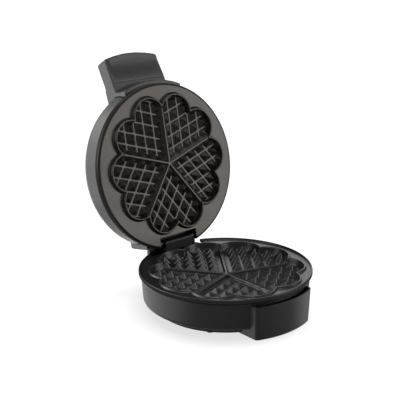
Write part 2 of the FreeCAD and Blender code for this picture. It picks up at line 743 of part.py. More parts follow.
# lugs for the plate screws and for the bottom screws
sk = sketch(shell, "plate_lug_sk", "XY_Plane", -21.2)
rect(sk, -99.2, -82, -6, 6)
rect(sk, 82, 99.2, -6, 6)
rect(sk, -6, 6, -99.2, -82)
pad(shell, sk, "plate_lugs", 3.2)
LUGS = [(66, 48), (-66, 48), (66, -48), (-66, -48)]
sk = sketch(shell, "cover_lug_sk", "XY_Plane", -d.base_low)
for x, y in LUGS:
    sx, sy = (1 if x > 0 else -1), (1 if y > 0 else -1)
    x0, x1 = sorted((sx * 59, sx * 78))
    y0, y1 = sorted((sy * 42, sy * 53))
    rect(sk, x0, x1, y0, y1)
pad(shell, sk, "cover_lugs", 7)
sk = sketch(shell, "lug_hole_sk", "XY_Plane", -21.2)
for x, y in ((-88, 0), (88, 0), (0, -88)):
    circle(sk, x, y, 1.8)
pocket(shell, sk, "lug_holes", 3.4, up=True)
sk = sketch(shell, "cover_hole_sk", "XY_Plane", -d.base_low)
for x, y in LUGS:
    circle(sk, x, y, 1.55)
pocket(shell, sk, "cover_holes", 6, up=True)
sk = sketch(shell, "bracket_hole_sk", "XY_Plane", -d.base_seat)
for x in (-13, 13):
    circle(sk, x, 94, 1.8)
pocket(shell, sk, "bracket_holes", 4)
# cord inlet in the rear wall, and holes for the rear feet
sk = sketch(shell, "inlet_sk", "XZ_Plane", -d.rear_y - 1)
circle(sk, 0, -28, d.inlet_rad)
pocket(shell, sk, "inlet", 8, up=True)
sk = sketch(shell, "rear_foot_hole_sk", "XY_Plane", -d.rear_low)
for x in (-31, 31):
    circle(sk, x, 95, 2.5)
pocket(shell, sk, "rear_foot_holes", 5, up=True)
keep(shell, "base_shell", base_placement())

# bottom pan
pan = new_body("bottom_cover_body")
revolve(pan, "pan_wall", [
    (0, -d.pan_low), (d.pan_rad - 1.2, -d.pan_low), (d.pan_rad, -d.pan_low + 1.2), (d.pan_top_rad, -d.base_low),
    (85.7, -d.base_low), (85.7, -d.base_low + 2.5), (83.3, -d.base_low + 2.5), (82.0, -d.pan_low + 2.4),
    (0, -d.pan_low + 2.4)])
sk = sketch(pan, "pan_tower_sk", "XY_Plane", -d.pan_low)
for x, y in LUGS:
    circle(sk, x, y, 4.8)
pad(pan, sk, "pan_towers", d.pan_low - d.base_low)
sk = sketch(pan, "pan_bore_sk", "XY_Plane", -d.pan_low)
for x, y in LUGS:
    circle(sk, x, y, 3.5)
pocket(pan, sk, "pan_counterbores", 6, up=True)
sk = sketch(pan, "pan_hole_sk", "XY_Plane", -d.pan_low)
for x, y in LUGS:
    circle(sk, x, y, 1.8)
pocket(pan, sk, "pan_holes", 12, up=True)
# gaps in the spigot ring for the housing's lugs
sk = sketch(pan, "pan_lug_gap_sk", "XY_Plane", -d.base_low)
for x, y in LUGS:
    sx, sy = (1 if x > 0 else -1), (1 if y > 0 else -1)
    x0, x1 = sorted((sx * 58.4, sx * 90))
    y0, y1 = sorted((sy * 41.5, sy * 53.5))
    rect(sk, x0, x1, y0, y1)
pocket(pan, sk, "pan_lug_gaps", 4, up=True)
# front cut for the pocket's lower block
sk = sketch(pan, "pan_front_sk", "XY_Plane", -d.base_low + 4)
front_band(sk, d.pocket_half - run_in + 0.3, 78.6, 96.0)
pocket(pan, sk, "pan_front_cut", 14)
sk = sketch(pan, "pan_foot_hole_sk", "XY_Plane", -d.pan_low)
for x in (-46, 46):
    circle(sk, x, -56, 2.5)
pocket(pan, sk, "pan_foot_holes", 4, up=True)
keep(pan, "bottom_cover", base_placement())

# rubber feet: disc with a plug that snaps through its hole
feet = []
for i, (x, y, under) in enumerate(((-46, -56, d.pan_low), (46, -56, d.pan_low),
                                   (-31, 95, d.rear_low), (31, 95, d.rear_low))):
    disc = doc.addObject("Part::Cone", "foot%d_disc" % i)
    bind(disc, "Radius1", d.foot_rad - 0.8)
    bind(disc, "Radius2", d.foot_rad)
    bind(disc, "Height", d.rim_height - under)
    disc.Placement = Placement(Vector(x, y, -d.rim_height.value), Rotation())
    plug = doc.addObject("Part::Cylinder", "foot%d_plug" % i)
    plug.Radius = 2.4
    plug.Height = 4.2
    plug.Placement = Placement(Vector(x, y, -under.value), Rotation())
    foot = doc.addObject("Part::Fuse", "foot%d" % i)
    foot.Base, foot.Tool = disc, plug
    feet.append(foot)
group("rubber_feet", feet, base_placement())

group("bottom_screws", [screw("cover_screw%d" % i, x, y, -41.6, 3.1, 2.0, 1.5, 7.6)
                        for i, (x, y) in enumerate(LUGS)], base_placement())
group("lower_plate_screws", [screw("lps%d" % i, x, y, -21.2, 3.1, 2.0, 1.5, 9.6)
                             for i, (x, y) in enumerate(((-88, 0), (88, 0), (0, -88)))], base_placement())
group("lower_shield_screws", [screw("lss%d" % i, x, y, -25.6, 2.8, 1.8, 1.5, 8.6)
                              for i, (x, y) in enumerate(POSTS)], base_placement())


# ===========================================================================
# heaters, straps and shields
# ===========================================================================
def heater(name, level):
    """Tubular ring, two ends bent out towards the hinge."""
    body = new_body(name + "_body")
    big, bend, tail = d.coil_rad.value, 10.0, 8.0
    cx = tail + bend
    cy = math.sqrt((big + bend) ** 2 - cx ** 2)
    tx, ty = cx * big / (big + bend), cy * big / (big + bend)
    end = 72.0
    path = sketch(body, name + "_path", "XY_Plane", level)
    g0 = path.addGeometry(Part.LineSegment(Vector(tail, end, 0), Vector(tail, cy, 0)), False)
    g1 = path.addGeometry(Part.ArcOfCircle(Part.Circle(Vector(cx, cy, 0), Vector(0, 0, 1), bend),
                                           math.pi, math.atan2(ty - cy, tx - cx) + 2 * math.pi), False)
    g2 = path.addGeometry(Part.ArcOfCircle(Part.Circle(Vector(0, 0, 0), Vector(0, 0, 1), big),
                                           math.atan2(ty, -tx), math.atan2(ty, tx) + 2 * math.pi), False)
    g3 = path.addGeometry(Part.ArcOfCircle(Part.Circle(Vector(-cx, cy, 0), Vector(0, 0, 1), bend),
                                           math.atan2(ty - cy, -tx + cx), 0.0), False)
    g4 = path.addGeometry(Part.LineSegment(Vector(-tail, cy, 0), Vector(-tail, end, 0)), False)
    for g in (g0, g1, g2, g3, g4):
        path.addConstraint(Sketcher.Constraint("Block", g))
    face = sketch(body, name + "_section", "XZ_Plane", -end)
    circle(face, tail, level, d.tube_rad)
    f = body.newObject("PartDesign::AdditivePipe", name + "_pipe")
    f.Profile = face
    f.Spine = path
    f.Transition = "Transformed"
    doc.recompute()
    return body


keep(heater("lower_heater", -d.core_low - d.tube_rad - 0.1), "lower_heating_element", base_placement())
keep(heater("upper_heater", -d.core_up - d.tube_rad - 0.1), "upper_heating_element", plate_placement())


def strap(name, level, angle):
    """Sheet strap over the heater tube, two feet on the plate."""
    parts = []
    deep = 2 * d.tube_rad.value + 0.3
    for key, (x0, x1, z0, z1) in {
            "foot_in": (-13.0, -4.6, -1.2, 0.0), "foot_out": (4.6, 13.0, -1.2, 0.0),
            "leg_in": (-4.9, -3.7, -deep - 1.2, 0.0), "leg_out": (3.7, 4.9, -deep - 1.2, 0.0),
            "saddle": (-4.9, 4.9, -deep - 1.2, -deep)}.items():
        b = doc.addObject("Part::Box", name + "_" + key)
        b.Length, b.Width, b.Height = x1 - x0, 9.0, z1 - z0
        b.Placement = Placement(Vector(x0, -4.5, z0), Rotation())
        parts.append(b)
    solid = doc.addObject("Part::MultiFuse", name + "_strap")
    solid.Shapes = parts
    holes = []
    for key, x in (("in", -9.5), ("out", 9.5)):
        c = doc.addObject("Part::Cylinder", name + "_hole_" + key)
        c.Radius, c.Height = 1.5, 4.0
        c.Placement = Placement(Vector(x, 0, -2), Rotation())
        holes.append(c)
    tool = doc.addObject("Part::MultiFuse", name + "_holes")
    tool.Shapes = holes
    cut = doc.addObject("Part::Cut", name)
    cut.Base, cut.Tool = solid, tool
    a = math.radians(angle)
    cut.Placement = Placement(Vector(d.coil_rad.value * math.cos(a), d.coil_rad.value * math.sin(a), level),
                              Rotation(Vector(0, 0, 1), angle))
    return cut


group("lower_element_clamps", [strap("low_clamp%d" % i, -d.core_low.value, a) for i, a in enumerate(CLAMPS)],
      base_placement())
group("upper_element_clamps", [strap("up_clamp%d" % i, -d.core_up.value, a) for i, a in enumerate(CLAMPS)],
      plate_placement())
group("lower_clamp_screws", [screw("lcs%d" % i, x, y, -d.core_low.value - 1.2, 2.4, 1.4, 1.25, 4.6)
                             for i, (x, y) in enumerate(clamp_screw_points())], base_placement())
group("upper_clamp_screws", [screw("ucs%d" % i, x, y, -d.core_up.value - 1.2, 2.4, 1.4, 1.25, 4.6)
                             for i, (x, y) in enumerate(clamp_screw_points())], plate_placement())


def shield(name, level):
    """Sheet reflector: ring with an upturned edge, under the heater."""
    body = new_body(name + "_body")
    revolve(body, name + "_sheet", [
        (24, level), (24, level - 0.6), (d.shield_rad, level - 0.6), (d.shield_rad, level + 2.6),
        (d.shield_rad - 0.6, level + 2.6), (d.shield_rad - 0.6, level)])
    sk = sketch(body, name + "_holes_sk", "XY_Plane", level - 0.6)
    for x, y in POSTS:
        circle(sk, x, y, 1.8)
    pocket(body, sk, name + "_holes", 2, up=True)
    return body


keep(shield("lower_shield", dim(-25.0)), "lower_heat_shield", base_placement())
keep(shield("upper_shield", dim(-21.0)), "upper_heat_shield", plate_placement())
group("upper_shield_screws", [screw("uss%d" % i, x, y, -21.6, 2.8, 1.8, 1.5, 8.6)
                              for i, (x, y) in enumerate(POSTS)], plate_placement())

# thermostat: disc sensor in a round holder with two blades, under the plate
stat = new_body("thermostat_body")
revolve(stat, "stat_can", [
    (0, -14.6), (8.0, -14.6), (8.0, -16.6), (11.0, -16.6), (11.0, -18.0), (9.0, -18.0), (9.0, -25.5),
    (8.2, -26.3), (0, -26.3)])
sk = sketch(stat, "stat_blade_sk", "XY_Plane", -26.3)
rect(sk, -6.5, -5.7, -3.0, 3.0)
rect(sk, 5.7, 6.5, -3.0, 3.0)
pad(stat, sk, "stat_blades", 6.0, down=True)
keep(stat, "thermostat", base_placement())

# thermal cut-out: cartridge with a tapered end, lying under the plate
fuse = new_body("thermal_fuse_body")
sk = sketch(fuse, "fuse_sk", "XY_Plane", -16.8, -17.0)
polygon(sk, [(-14, 0), (-14, 0.6), (-6, 0.6), (-6, 2.0), (5, 2.0), (7, 0.6), (14, 0.6), (14, 0)])
f = fuse.newObject("PartDesign::Revolution", "fuse_turn")
f.Profile = sk
f.ReferenceAxis = (sk, ["H_Axis"])
f.Angle = 360
doc.recompute()
keep(fuse, "thermal_fuse", base_placement())

# terminal block: ceramic bar with three clamp pockets, on the bottom pan
block = new_body("terminal_block_body")
sk = sketch(block, "term_sk", "XY_Plane", -d.pan_low + 2.4)
rect(sk, -18, 18, 54, 68)
pad(block, sk, "term_bar", 11)
sk = sketch(block, "term_well_sk", "XY_Plane", -d.pan_low + 13.4)
for x in (-11, 0, 11):
    circle(sk, x, 61, 3.0)
pocket(block, sk, "term_wells", 5)
sk = sketch(block, "term_bore_sk", "XZ_Plane", -69)
for x in (-11, 0, 11):
    circle(sk, x, -38.5, 1.7)
pocket(block, sk, "term_bores", 16, up=True)
keep(block, "terminal_block", base_placement())

# fixed leads in the base
tail_z = (-d.core_low - d.tube_rad - 0.1).value
leads = [
    tube("lead_heater_r", [(8, 72.1, tail_z), (8, 78.4, tail_z), (11, 78.4, -38.5), (11, 62.5, -38.5)], 4.5, d.wire_rad.value),
    tube("lead_heater_l", [(-8, 72.1, tail_z), (-8, 78.4, tail_z), (-11, 78.4, -38.5), (-11, 62.5, -38.5)], 4.5, d.wire_rad.value),
    tube("lead_stat", [(0, 59.5, -38.5), (0, 30, -38.5), (-6.1, 12, -38.5), (-6.1, 0, -38.5), (-6.1, 0, -32.4)], 5.0, d.wire_rad.value),
]
group("base_wiring", leads, base_placement())

# inlet grommet: flanged ring in the rear wall
grom = new_body("cord_grommet_body")
sk = sketch(grom, "grom_core_sk", "XZ_Plane", -d.rear_y - 1.6)
circle(sk, 0, -28, d.inlet_rad + 1.8)
pad(grom, sk, "grom_flange", 1.6, down=False)
sk = sketch(grom, "grom_neck_sk", "XZ_Plane", -d.rear_y)
circle(sk, 0, -28, d.inlet_rad - 0.05)
pad(grom, sk, "grom_neck", 5.6, down=False)
sk = sketch(grom, "grom_bore_sk", "XZ_Plane", -d.rear_y - 2)
circle(sk, 0, -28, d.grommet_bore)
pocket(grom, sk, "grom_bore", 12, up=True)
keep(grom, "cord_grommet", base_placement())

# ===========================================================================
# hinge
# ===========================================================================
hb = new_body("hinge_bracket_body")
sk = sketch(hb, "block_sk", "YZ_Plane", -d.block_half)
hy, hz = d.hinge_y, d.hinge_z
top = 4.5
polygon(sk, [
    (hy - 8, -d.base_seat), (hy + 5, -d.base_seat), (hy + 5, hz - 5.5), (hy + 4.4, hz - 3.0),
    (hy + 4.4, hz + 0.4), (hy + 3.9, hz + 2.2), (hy + 2.2, hz + 3.9), (hy, hz + top),
    (hy - 5.4, hz + top), (hy - 7.2, hz + 3.9), (hy - 8, hz + 2.4)])
pad(hb, sk, "block_pad", 2 * d.block_half)
sk = sketch(hb, "block_bore_sk", "YZ_Plane", -d.block_half - 1)
circle(sk, hy, hz, d.pin_rad)
pocket(hb, sk, "block_bore", 2 * d.block_half + 2, up=True)
sk = sketch(hb, "block_screw_sk", "XY_Plane", -d.base_seat)
for x in (-13, 13):
    circle(sk, x, 94, 1.55)
pocket(hb, sk, "block_screw_holes", 8, up=True)
keep(hb, "hinge_bracket", base_placement())
group("hinge_bracket_screws", [screw("hbs%d" % i, x, 94, -d.base_seat.value - 2.6, 3.0, 1.8, 1.5, 9.0)
                               for i, x in enumerate((-13, 13))], base_placement())

# pin with a flat head at one end and a retaining ring at the other
pin = new_body("hinge_pin_body")
sk = sketch(pin, "pin_sk", "YZ_Plane", -27.0)
circle(sk, hy, hz, d.pin_rad)
pad(pin, sk, "pin_shank", 55.2)
sk = sketch(pin, "pin_head_sk", "YZ_Plane", -28.0)
circle(sk, hy, hz, 3.7)
pad(pin, sk, "pin_head", 1.2)
ring_groove = sketch(pin, "pin_groove_sk", "YZ_Plane", 26.85)
circle(ring_groove, hy, hz, 3.2)
circle(ring_groove, hy, hz, 2.0)
pocket(pin, ring_groove, "pin_groove", 0.8, up=True)
keep(pin, "hinge_pin", base_placement())
clip = new_body("hinge_pin_clip_body")
sk = sketch(clip, "clip_sk", "YZ_Plane", 26.9)
circle(sk, hy, hz, 4.0)
circle(sk, hy, hz, 2.05)
pad(clip, sk, "clip_ring", 0.7)
sk = sketch(clip, "clip_gap_sk", "YZ_Plane", 26.6)
polygon(sk, [(hy - 1.2, hz - 6), (hy + 1.2, hz - 6), (hy + 1.2, hz - 0.5), (hy - 1.2, hz - 0.5)])
pocket(clip, sk, "clip_gap", 2.0, up=True)
keep(clip, "hinge_pin_clip", base_placement())

# lid side of the hinge: two ears on a bridge
lb = new_body("lid_hinge_bracket_body")
sk = sketch(lb, "bridge_sk", "YZ_Plane", -d.ear_out)
rect(sk, 86.4, hy + 1.0, d.notch_top - 3.0, d.notch_top)
pad(lb, sk, "bridge", 2 * d.ear_out)
for side, x0 in (("l", -d.ear_out), ("r", d.ear_in)):
    sk = sketch(lb, "ear_%s_sk" % side, "YZ_Plane", x0)
    polygon(sk, [
        (hy - 4.6, d.notch_top - 1.5), (hy - 4.6, hz), (hy - 4.25, hz - 1.76), (hy - 3.25, hz - 3.25), (hy - 1.76, hz - 4.25),
        (hy, hz - 4.6), (hy + 1.76, hz - 4.25), (hy + 3.25, hz - 3.25), (hy + 4.25, hz - 1.76), (hy + 4.6, hz),
        (hy + 4.25, hz + 1.76), (hy + 1.0, hz + 5.6), (hy + 1.0, d.notch_top - 1.5)])
    pad(lb, sk, "ear_%s" % side, d.ear_out - d.ear_in)
sk = sketch(lb, "ear_bore_sk", "YZ_Plane", -d.ear_out - 1)
circle(sk, hy, hz, d.ear_bore)
pocket(lb, sk, "ear_bores", 2 * d.ear_out + 2, up=True)
sk = sketch(lb, "bridge_hole_sk", "XY_Plane", d.notch_top)
for x in (-14, 14):
    circle(sk, x, 90.5, 1.55)
pocket(lb, sk, "bridge_holes", 4)
keep(lb, "lid_hinge_bracket", lid_placement())
group("lid_bracket_screws", [screw("lbs%d" % i, x, 90.5, d.notch_top.value + 2.6, 3.0, 1.8, 1.5, 5.4, (0, 0, -1))
                             for i, x in enumerate((-14, 14))], lid_placement())

# ===========================================================================
# lid housing
# ===========================================================================
frame = new_body("lid_frame_body")
bend = []
for a in range(0, 91, 9):
    t = math.radians(a)
    bend.append((d.lid_top_rad - d.shoulder + d.shoulder * math.cos(t), d.lid_wall_top - d.shoulder + d.shoulder * math.sin(t)))
revolve(frame, "lid_wall", [(d.lid_bot_rad, d.lid_low)] + bend + [
    (d.lid_edge_rad, d.lid_edge_z),
    (d.lid_edge_rad - 1.8, d.lid_edge_z), (d.lid_edge_rad - 1.8, d.lid_edge_z - 2.4), (80.0, d.lid_edge_z - 2.4),
    (80.0, d.lid_edge_z - 4.8), (d.lid_edge_rad, d.lid_edge_z - 4.8), (d.lid_edge_rad + 3, d.lid_wall_top - 2.6),
    (d.lid_top_rad - d.shoulder, d.lid_wall_top - 2.6), (d.lid_top_rad - d.shoulder + 2.8, d.lid_wall_top - 3.2),
    (d.lid_top_rad - d.shoulder + 5.2, d.lid_wall_top - 4.7), (d.lid_top_rad - d.shoulder + 6.8, d.lid_wall_top - 7.0),
    (d.lid_top_rad - d.wall - 0.1, d.lid_wall_top - 9.8), (d.lid_bot_rad - d.wall, d.lid_low)])
# rear housing with its flat face
sk = sketch(frame, "lid_rear_sk", "XY_Plane", d.lid_low)
rear_band(sk, d.lid_rear_half, 94.5, d.lid_rear_y)
pad(frame, sk, "lid_rear", 26.0)
sk = sketch(frame, "lid_rear_top_sk", "XY_Plane", d.lid_low + 26.0)
rear_band(sk, d.lid_rear_half, 88.0, d.lid_rear_y)
pad(frame, sk, "lid_rear_hump", d.lid_rear_top - d.lid_low - 26.0)
sk = sketch(frame, "lid_rear_flat_sk", "XY_Plane", d.lid_low - 2)
rect(sk, -60, 60, d.lid_rear_y, 112.0)
pocket(frame, sk, "lid_rear_flat", 50, up=True)
sk = sketch(frame, "lid_plate_seat_sk", "XY_Plane", d.lid_low - 2)
circle(sk, 0, 0, 98.1)
pocket(frame, sk, "lid_plate_seat", 3.8, up=True)
round_edges(frame, "lid_rear_corners", 4.0, lambda e: e.BoundBox.ZLength > 5 and abs(abs(mid(e).x) - d.lid_rear_half.value) < 1e-3
            and abs(mid(e).y - d.lid_rear_y.value) < 1e-3)
round_edges(frame, "lid_rear_edges", 2.4, lambda e: abs(e.BoundBox.ZMin - d.lid_rear_top.value) < 1e-4)
sk = sketch(frame, "lid_rear_hollow_sk", "XY_Plane", d.notch_top + 2.6)
rear_band(sk, d.lid_rear_half - 3.0, 90.6, d.lid_rear_y - 3.0)
pocket(frame, sk, "lid_rear_hollow", d.lid_rear_top - 2.6 - d.notch_top - 2.6, up=True)
# shelf over the hinge notch
sk = sketch(frame, "lid_shelf_sk", "XY_Plane", d.notch_top)
rect(sk, -d.notch_half - 3, d.notch_half + 3, 82.0, 97.5)
pad(frame, sk, "lid_shelf", 2.6)
sk = sketch(frame, "lid_notch_sk", "XY_Plane", d.lid_low - 1)
rect(sk, -d.notch_half, d.notch_half, 80.0, 110.0)
pocket(frame, sk, "lid_notch", d.notch_top - d.lid_low + 1, up=True)
sk = sketch(frame, "shelf_hole_sk", "XY_Plane", d.notch_top)
for x in (-14, 14):
    circle(sk, x, 90.5, 1.8)
pocket(frame, sk, "shelf_holes", 4, up=True)
# lugs for the plate screws
sk = sketch(frame, "lid_lug_sk", "XY_Plane", 14.4)
rect(sk, -100.2, -82, -6, 6)
rect(sk, 82, 100.2, -6, 6)
rect(sk, -6, 6, -100.2, -80)
pad(frame, sk, "lid_lugs", 3.2)
sk = sketch(frame, "lid_lug_hole_sk", "XY_Plane", 14.4)
for x, y in ((-88, 0), (88, 0), (0, -86)):
    circle(sk, x, y, 1.8)
pocket(frame, sk, "lid_lug_holes", 4, up=True)
# holes for the handle screws
sk = sketch(frame, "handle_hole_sk", "XZ_Plane", 70)
for x in (-26, 26):
    circle(sk, x, 24, 1.8)
pocket(frame, sk, "handle_holes", 40, up=True)
keep(frame, "lid_frame", lid_placement())

# domed top panel, dropped into the step of the shoulder
panel = new_body("lid_top_panel_body")
rp = d.lid_edge_rad - 2.0
revolve(panel, "panel_dome", [
    (0, d.lid_edge_z + d.panel_rise), (20, d.lid_edge_z + d.panel_rise * 0.955), (40, d.lid_edge_z + d.panel_rise * 0.8),
    (60, d.lid_edge_z + d.panel_rise * 0.53), (76, d.lid_edge_z + d.panel_rise * 0.23), (rp - 0.6, d.lid_edge_z),
    (rp, d.lid_edge_z - 0.6), (rp, d.lid_edge_z - 2.4), (79.6, d.lid_edge_z - 2.4), (79.6, d.lid_edge_z - 6.0), (77.8, d.lid_edge_z - 6.0),
    (77.8, d.lid_edge_z - 1.9), (60, d.lid_edge_z + d.panel_rise * 0.53 - 2.2), (40, d.lid_edge_z + d.panel_rise * 0.8 - 2.2),
    (20, d.lid_edge_z + d.panel_rise * 0.955 - 2.2), (0, d.lid_edge_z + d.panel_rise - 2.2)])
LAMPS = [(-9, -62), (9, -62)]
sk = sketch(panel, "lens_hole_sk", "XY_Plane", d.lid_edge_z + 10)
for x, y in LAMPS:
    circle(sk, x, y, 3.5)
pocket(panel, sk, "lens_holes", 14)
keep(panel, "lid_top_panel", lid_placement())

# pilot light windows: stem, flange behind the panel, low crown
for label, (x, y) in (("power_light_lens", LAMPS[0]), ("ready_light_lens", LAMPS[1])):
    lens = new_body(label + "_body")
    sk = sketch(lens, label + "_sk", "XZ_Plane", -y, 0, x)
    polygon(sk, [(0, 38.2), (4.6, 38.2), (4.6, 39.2), (3.4, 39.2), (3.4, 42.6), (2.7, 43.3), (1.2, 43.7), (0, 43.8)])
    f = lens.newObject("PartDesign::Revolution", label + "_turn")
    f.Profile = sk
    f.ReferenceAxis = (sk, ["V_Axis"])
    f.Angle = 360
    doc.recompute()
    keep(lens, label, lid_placement())

# lamps: glass bulbs on short bases behind the windows
bulbs = []
for i, (x, y) in enumerate(LAMPS):
    glass = doc.addObject("Part::Cylinder", "lamp%d_glass" % i)
    glass.Radius, glass.Height = 2.4, 5.8
    glass.Placement = Placement(Vector(x, y, 29.4), Rotation())
    tip = doc.addObject("Part::Sphere", "lamp%d_tip" % i)
    tip.Radius = 2.4
    tip.Placement = Placement(Vector(x, y, 35.2), Rotation())
    foot = doc.addObject("Part::Cylinder", "lamp%d_base" % i)
    foot.Radius, foot.Height = 3.0, 4.0
    foot.Placement = Placement(Vector(x, y, 25.6), Rotation())
    one = doc.addObject("Part::MultiFuse", "lamp%d" % i)
    one.Shapes = [glass, tip, foot]
    bulbs.append(one)
group("indicator_lamps", bulbs, lid_placement())

# fixed leads in the lid
up_z = d.lid_gap.value + d.core_up.value + d.tube_rad.value + 0.1
leads = [
    tube("lead_lid_r", [(8, 72.1, up_z), (8, 78.0, up_z), (8, 78.0, 27.4), (9, 20, 27.4), (9, -58.9, 27.4)], 2.9, d.wire_rad.value),
    tube("lead_lid_l", [(-8, 72.1, up_z), (-8, 78.0, up_z), (-8, 78.0, 27.4), (-9, 20, 27.4), (-9, -58.9, 27.4)], 2.9, d.wire_rad.value),
]
group("lid_wiring", leads, lid_placement())

# ===========================================================================
# handle: leg in front of the lid wall, paddle reaching out from its top
# ===========================================================================
hd = new_body("lid_handle_body")
tilt = d.paddle_tilt.value


def paddle_sketch(name):
    sk = hd.newObject("Sketcher::SketchObject", name)
    sk.AttachmentSupport = [(origin_plane(hd, "XY_Plane"), "")]
    sk.MapMode = "FlatFace"
    sk.AttachmentOffset = Placement(Vector(0, -d.paddle_y.value, d.paddle_z.value), Rotation(Vector(1, 0, 0), -tilt))
    sk.setExpression("AttachmentOffset.Base.y", (-d.paddle_y).text)
    sk.setExpression("AttachmentOffset.Base.z", d.paddle_z.text)
    return sk


def paddle_outline(sk, half, inset, back):
    """Straight sides, a wide arc at the end, straight across at the back."""
    half = dim(half)
    rad = d.paddle_rad - inset
    centre = d.paddle_rad - d.paddle_end
    ye = centre.value - math.sqrt(rad.value ** 2 - half.value ** 2)
    g = sk.addGeometry(Part.ArcOfCircle(Part.Circle(Vector(0, centre.value, 0), Vector(0, 0, 1), rad.value),
                                        math.atan2(ye - centre.value, -half.value),
                                        math.atan2(ye - centre.value, half.value)), False)
    right = sk.addGeometry(Part.LineSegment(Vector(half.value, ye, 0), Vector(half.value, back, 0)), False)
    rear = sk.addGeometry(Part.LineSegment(Vector(half.value, back, 0), Vector(-half.value, back, 0)), False)
    left = sk.addGeometry(Part.LineSegment(Vector(-half.value, back, 0), Vector(-half.value, ye, 0)), False)
    sk.addConstraint(Sketcher.Constraint("Coincident", g, 2, right, 1))
    sk.addConstraint(Sketcher.Constraint("Coincident", right, 2, rear, 1))
    sk.addConstraint(Sketcher.Constraint("Coincident", rear, 2, left, 1))
    sk.addConstraint(Sketcher.Constraint("Coincident", left, 2, g, 1))
    pin_point(sk, g, 3, 0, centre)
    constrain(sk, "Radius", (g,), rad)
    pin_point(sk, rear, 1, half, back)
    pin_point(sk, rear, 2, -half, back)
    sk.addConstraint(Sketcher.Constraint("Vertical", right))
    sk.addConstraint(Sketcher.Constraint("Vertical", left))


sk = paddle_sketch("paddle_sk")
paddle_outline(sk, d.paddle_half, 0, 34.0)
pad(hd, sk, "paddle", d.paddle_thick)
# root block over the shoulder of the lid
sk = sketch(hd, "root_sk", "YZ_Plane", -d.paddle_half)
polygon(sk, [(-103.0, 34.0), (-76.0, 34.0), (-76.0, 46.0), (-79.0, 50.2), (-87.6, 52.6), (-101.6, 54.9), (-106.0, 52.0), (-106.0, 36.0)])
pad(hd, sk, "root", 2 * d.paddle_half)
# leg in front of the lid wall
sk = sketch(hd, "leg_sk", "XY_Plane", d.leg_low)
front_band(sk, d.handle_half, 96.0, d.leg_rad)
pad(hd, sk, "leg", 29.0, dim(-4.6))
# seat that follows the lid wall and shoulder
gap = 0.3
rs = d.shoulder.value
seat = [(dim(0), dim(0)), (d.lid_bot_rad + gap, dim(0)), (d.lid_bot_rad + gap, d.lid_low)]
for a in range(0, 91, 9):
    t = math.radians(a)
    seat.append((d.lid_top_rad - d.shoulder + (d.shoulder + gap) * math.cos(t),
                 d.lid_wall_top - d.shoulder + (d.shoulder + gap) * math.sin(t)))
seat += [(d.lid_edge_rad, d.lid_edge_z + gap), (dim(60), d.lid_edge_z + d.panel_rise * 0.53 + gap + 0.6), (dim(0), d.lid_edge_z + d.panel_rise * 0.53 + gap + 0.6)]
groove(hd, "handle_seat", seat)
# hollow of the paddle, open to the seat
sk = sketch(hd, "hollow_sk", "YZ_Plane", -d.paddle_half + 3.6)
polygon(sk, [(-81.0, 38.0), (-81.0, 46.4), (-101.6, 50.9), (-134.0, 60.5), (-132.5, 51.1), (-104.0, 41.6), (-100.0, 37.0)])
pocket(hd, sk, "paddle_hollow", 2 * d.paddle_half - 7.2, up=True)
# dished underside
sk = paddle_sketch("dish_sk")
paddle_outline(sk, d.paddle_half - 2.6, 2.8, 9.0)
pocket(hd, sk, "dish", 2.4, dim(-20), up=True)


def local(p):
    """Distance below (negative) the paddle's underside plane."""
    t = math.radians(tilt)
    return (p.y + d.paddle_y.value) * math.sin(t) + (p.z - d.paddle_z.value) * math.cos(t)


round_edges(hd, "paddle_corners", 3.0, lambda e: abs(e.Length - d.paddle_thick.value) < 0.05 and mid(e).y < -135
            and abs(abs(mid(e).x) - d.paddle_half.value) < 0.02)
round_edges(hd, "paddle_top_edges", 2.0, lambda e: abs(local(mid(e)) - d.paddle_thick.value) < 0.02 and mid(e).y < -108
            and abs(local(e.valueAt(e.FirstParameter)) - d.paddle_thick.value) < 0.02)
sk = sketch(hd, "handle_screw_sk", "XZ_Plane", 96.0)
for x in (-26, 26):
    circle(sk, x, 24, 1.55)
pocket(hd, sk, "handle_screw_holes", 7.2, up=True)
keep(hd, "lid_handle", lid_placement())
group("handle_screws", [screw("hs%d" % i, x, -95.0, 24, 3.0, 1.8, 1.5, 7.8, (0, -1, 0))
                        for i, x in enumerate((-26, 26))], lid_placement())

group("upper_plate_screws", [screw("ups%d" % i, x, y, 17.6, 3.1, 2.0, 1.5, 9.6, (0, 0, -1))
                             for i, (x, y) in enumerate(((-88, 0), (88, 0), (0, -86)))], lid_placement())

# ===========================================================================
# checks and files
# ===========================================================================
doc.recompute()
bad = []
for obj in doc.Objects:
    if "Invalid" in obj.State or "Error" in obj.State:
        bad.append("%s %s" % (obj.Name, obj.State))
for obj in NODES:
    s = obj.Shape
    if s.isNull() or not s.isValid() or not s.Solids:
        bad.append("%s has no valid shape" % obj.Label)
if bad:
    raise RuntimeError("; ".join(bad))
os.makedirs("parts", exist_ok=True)
total = None
for obj in NODES:
    obj.Shape.exportStep("parts/%s.step" % obj.Label)
    box = obj.Shape.BoundBox
    total = FreeCAD.BoundBox(box) if total is None else total.united(box)
    print("%-24s solids %2d volume %10.1f" % (obj.Label, len(obj.Shape.Solids), obj.Shape.Volume))
print("box", total)
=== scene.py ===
import json
import math

import bmesh
import bpy
import numpy as np
from mathutils import Matrix, Vector


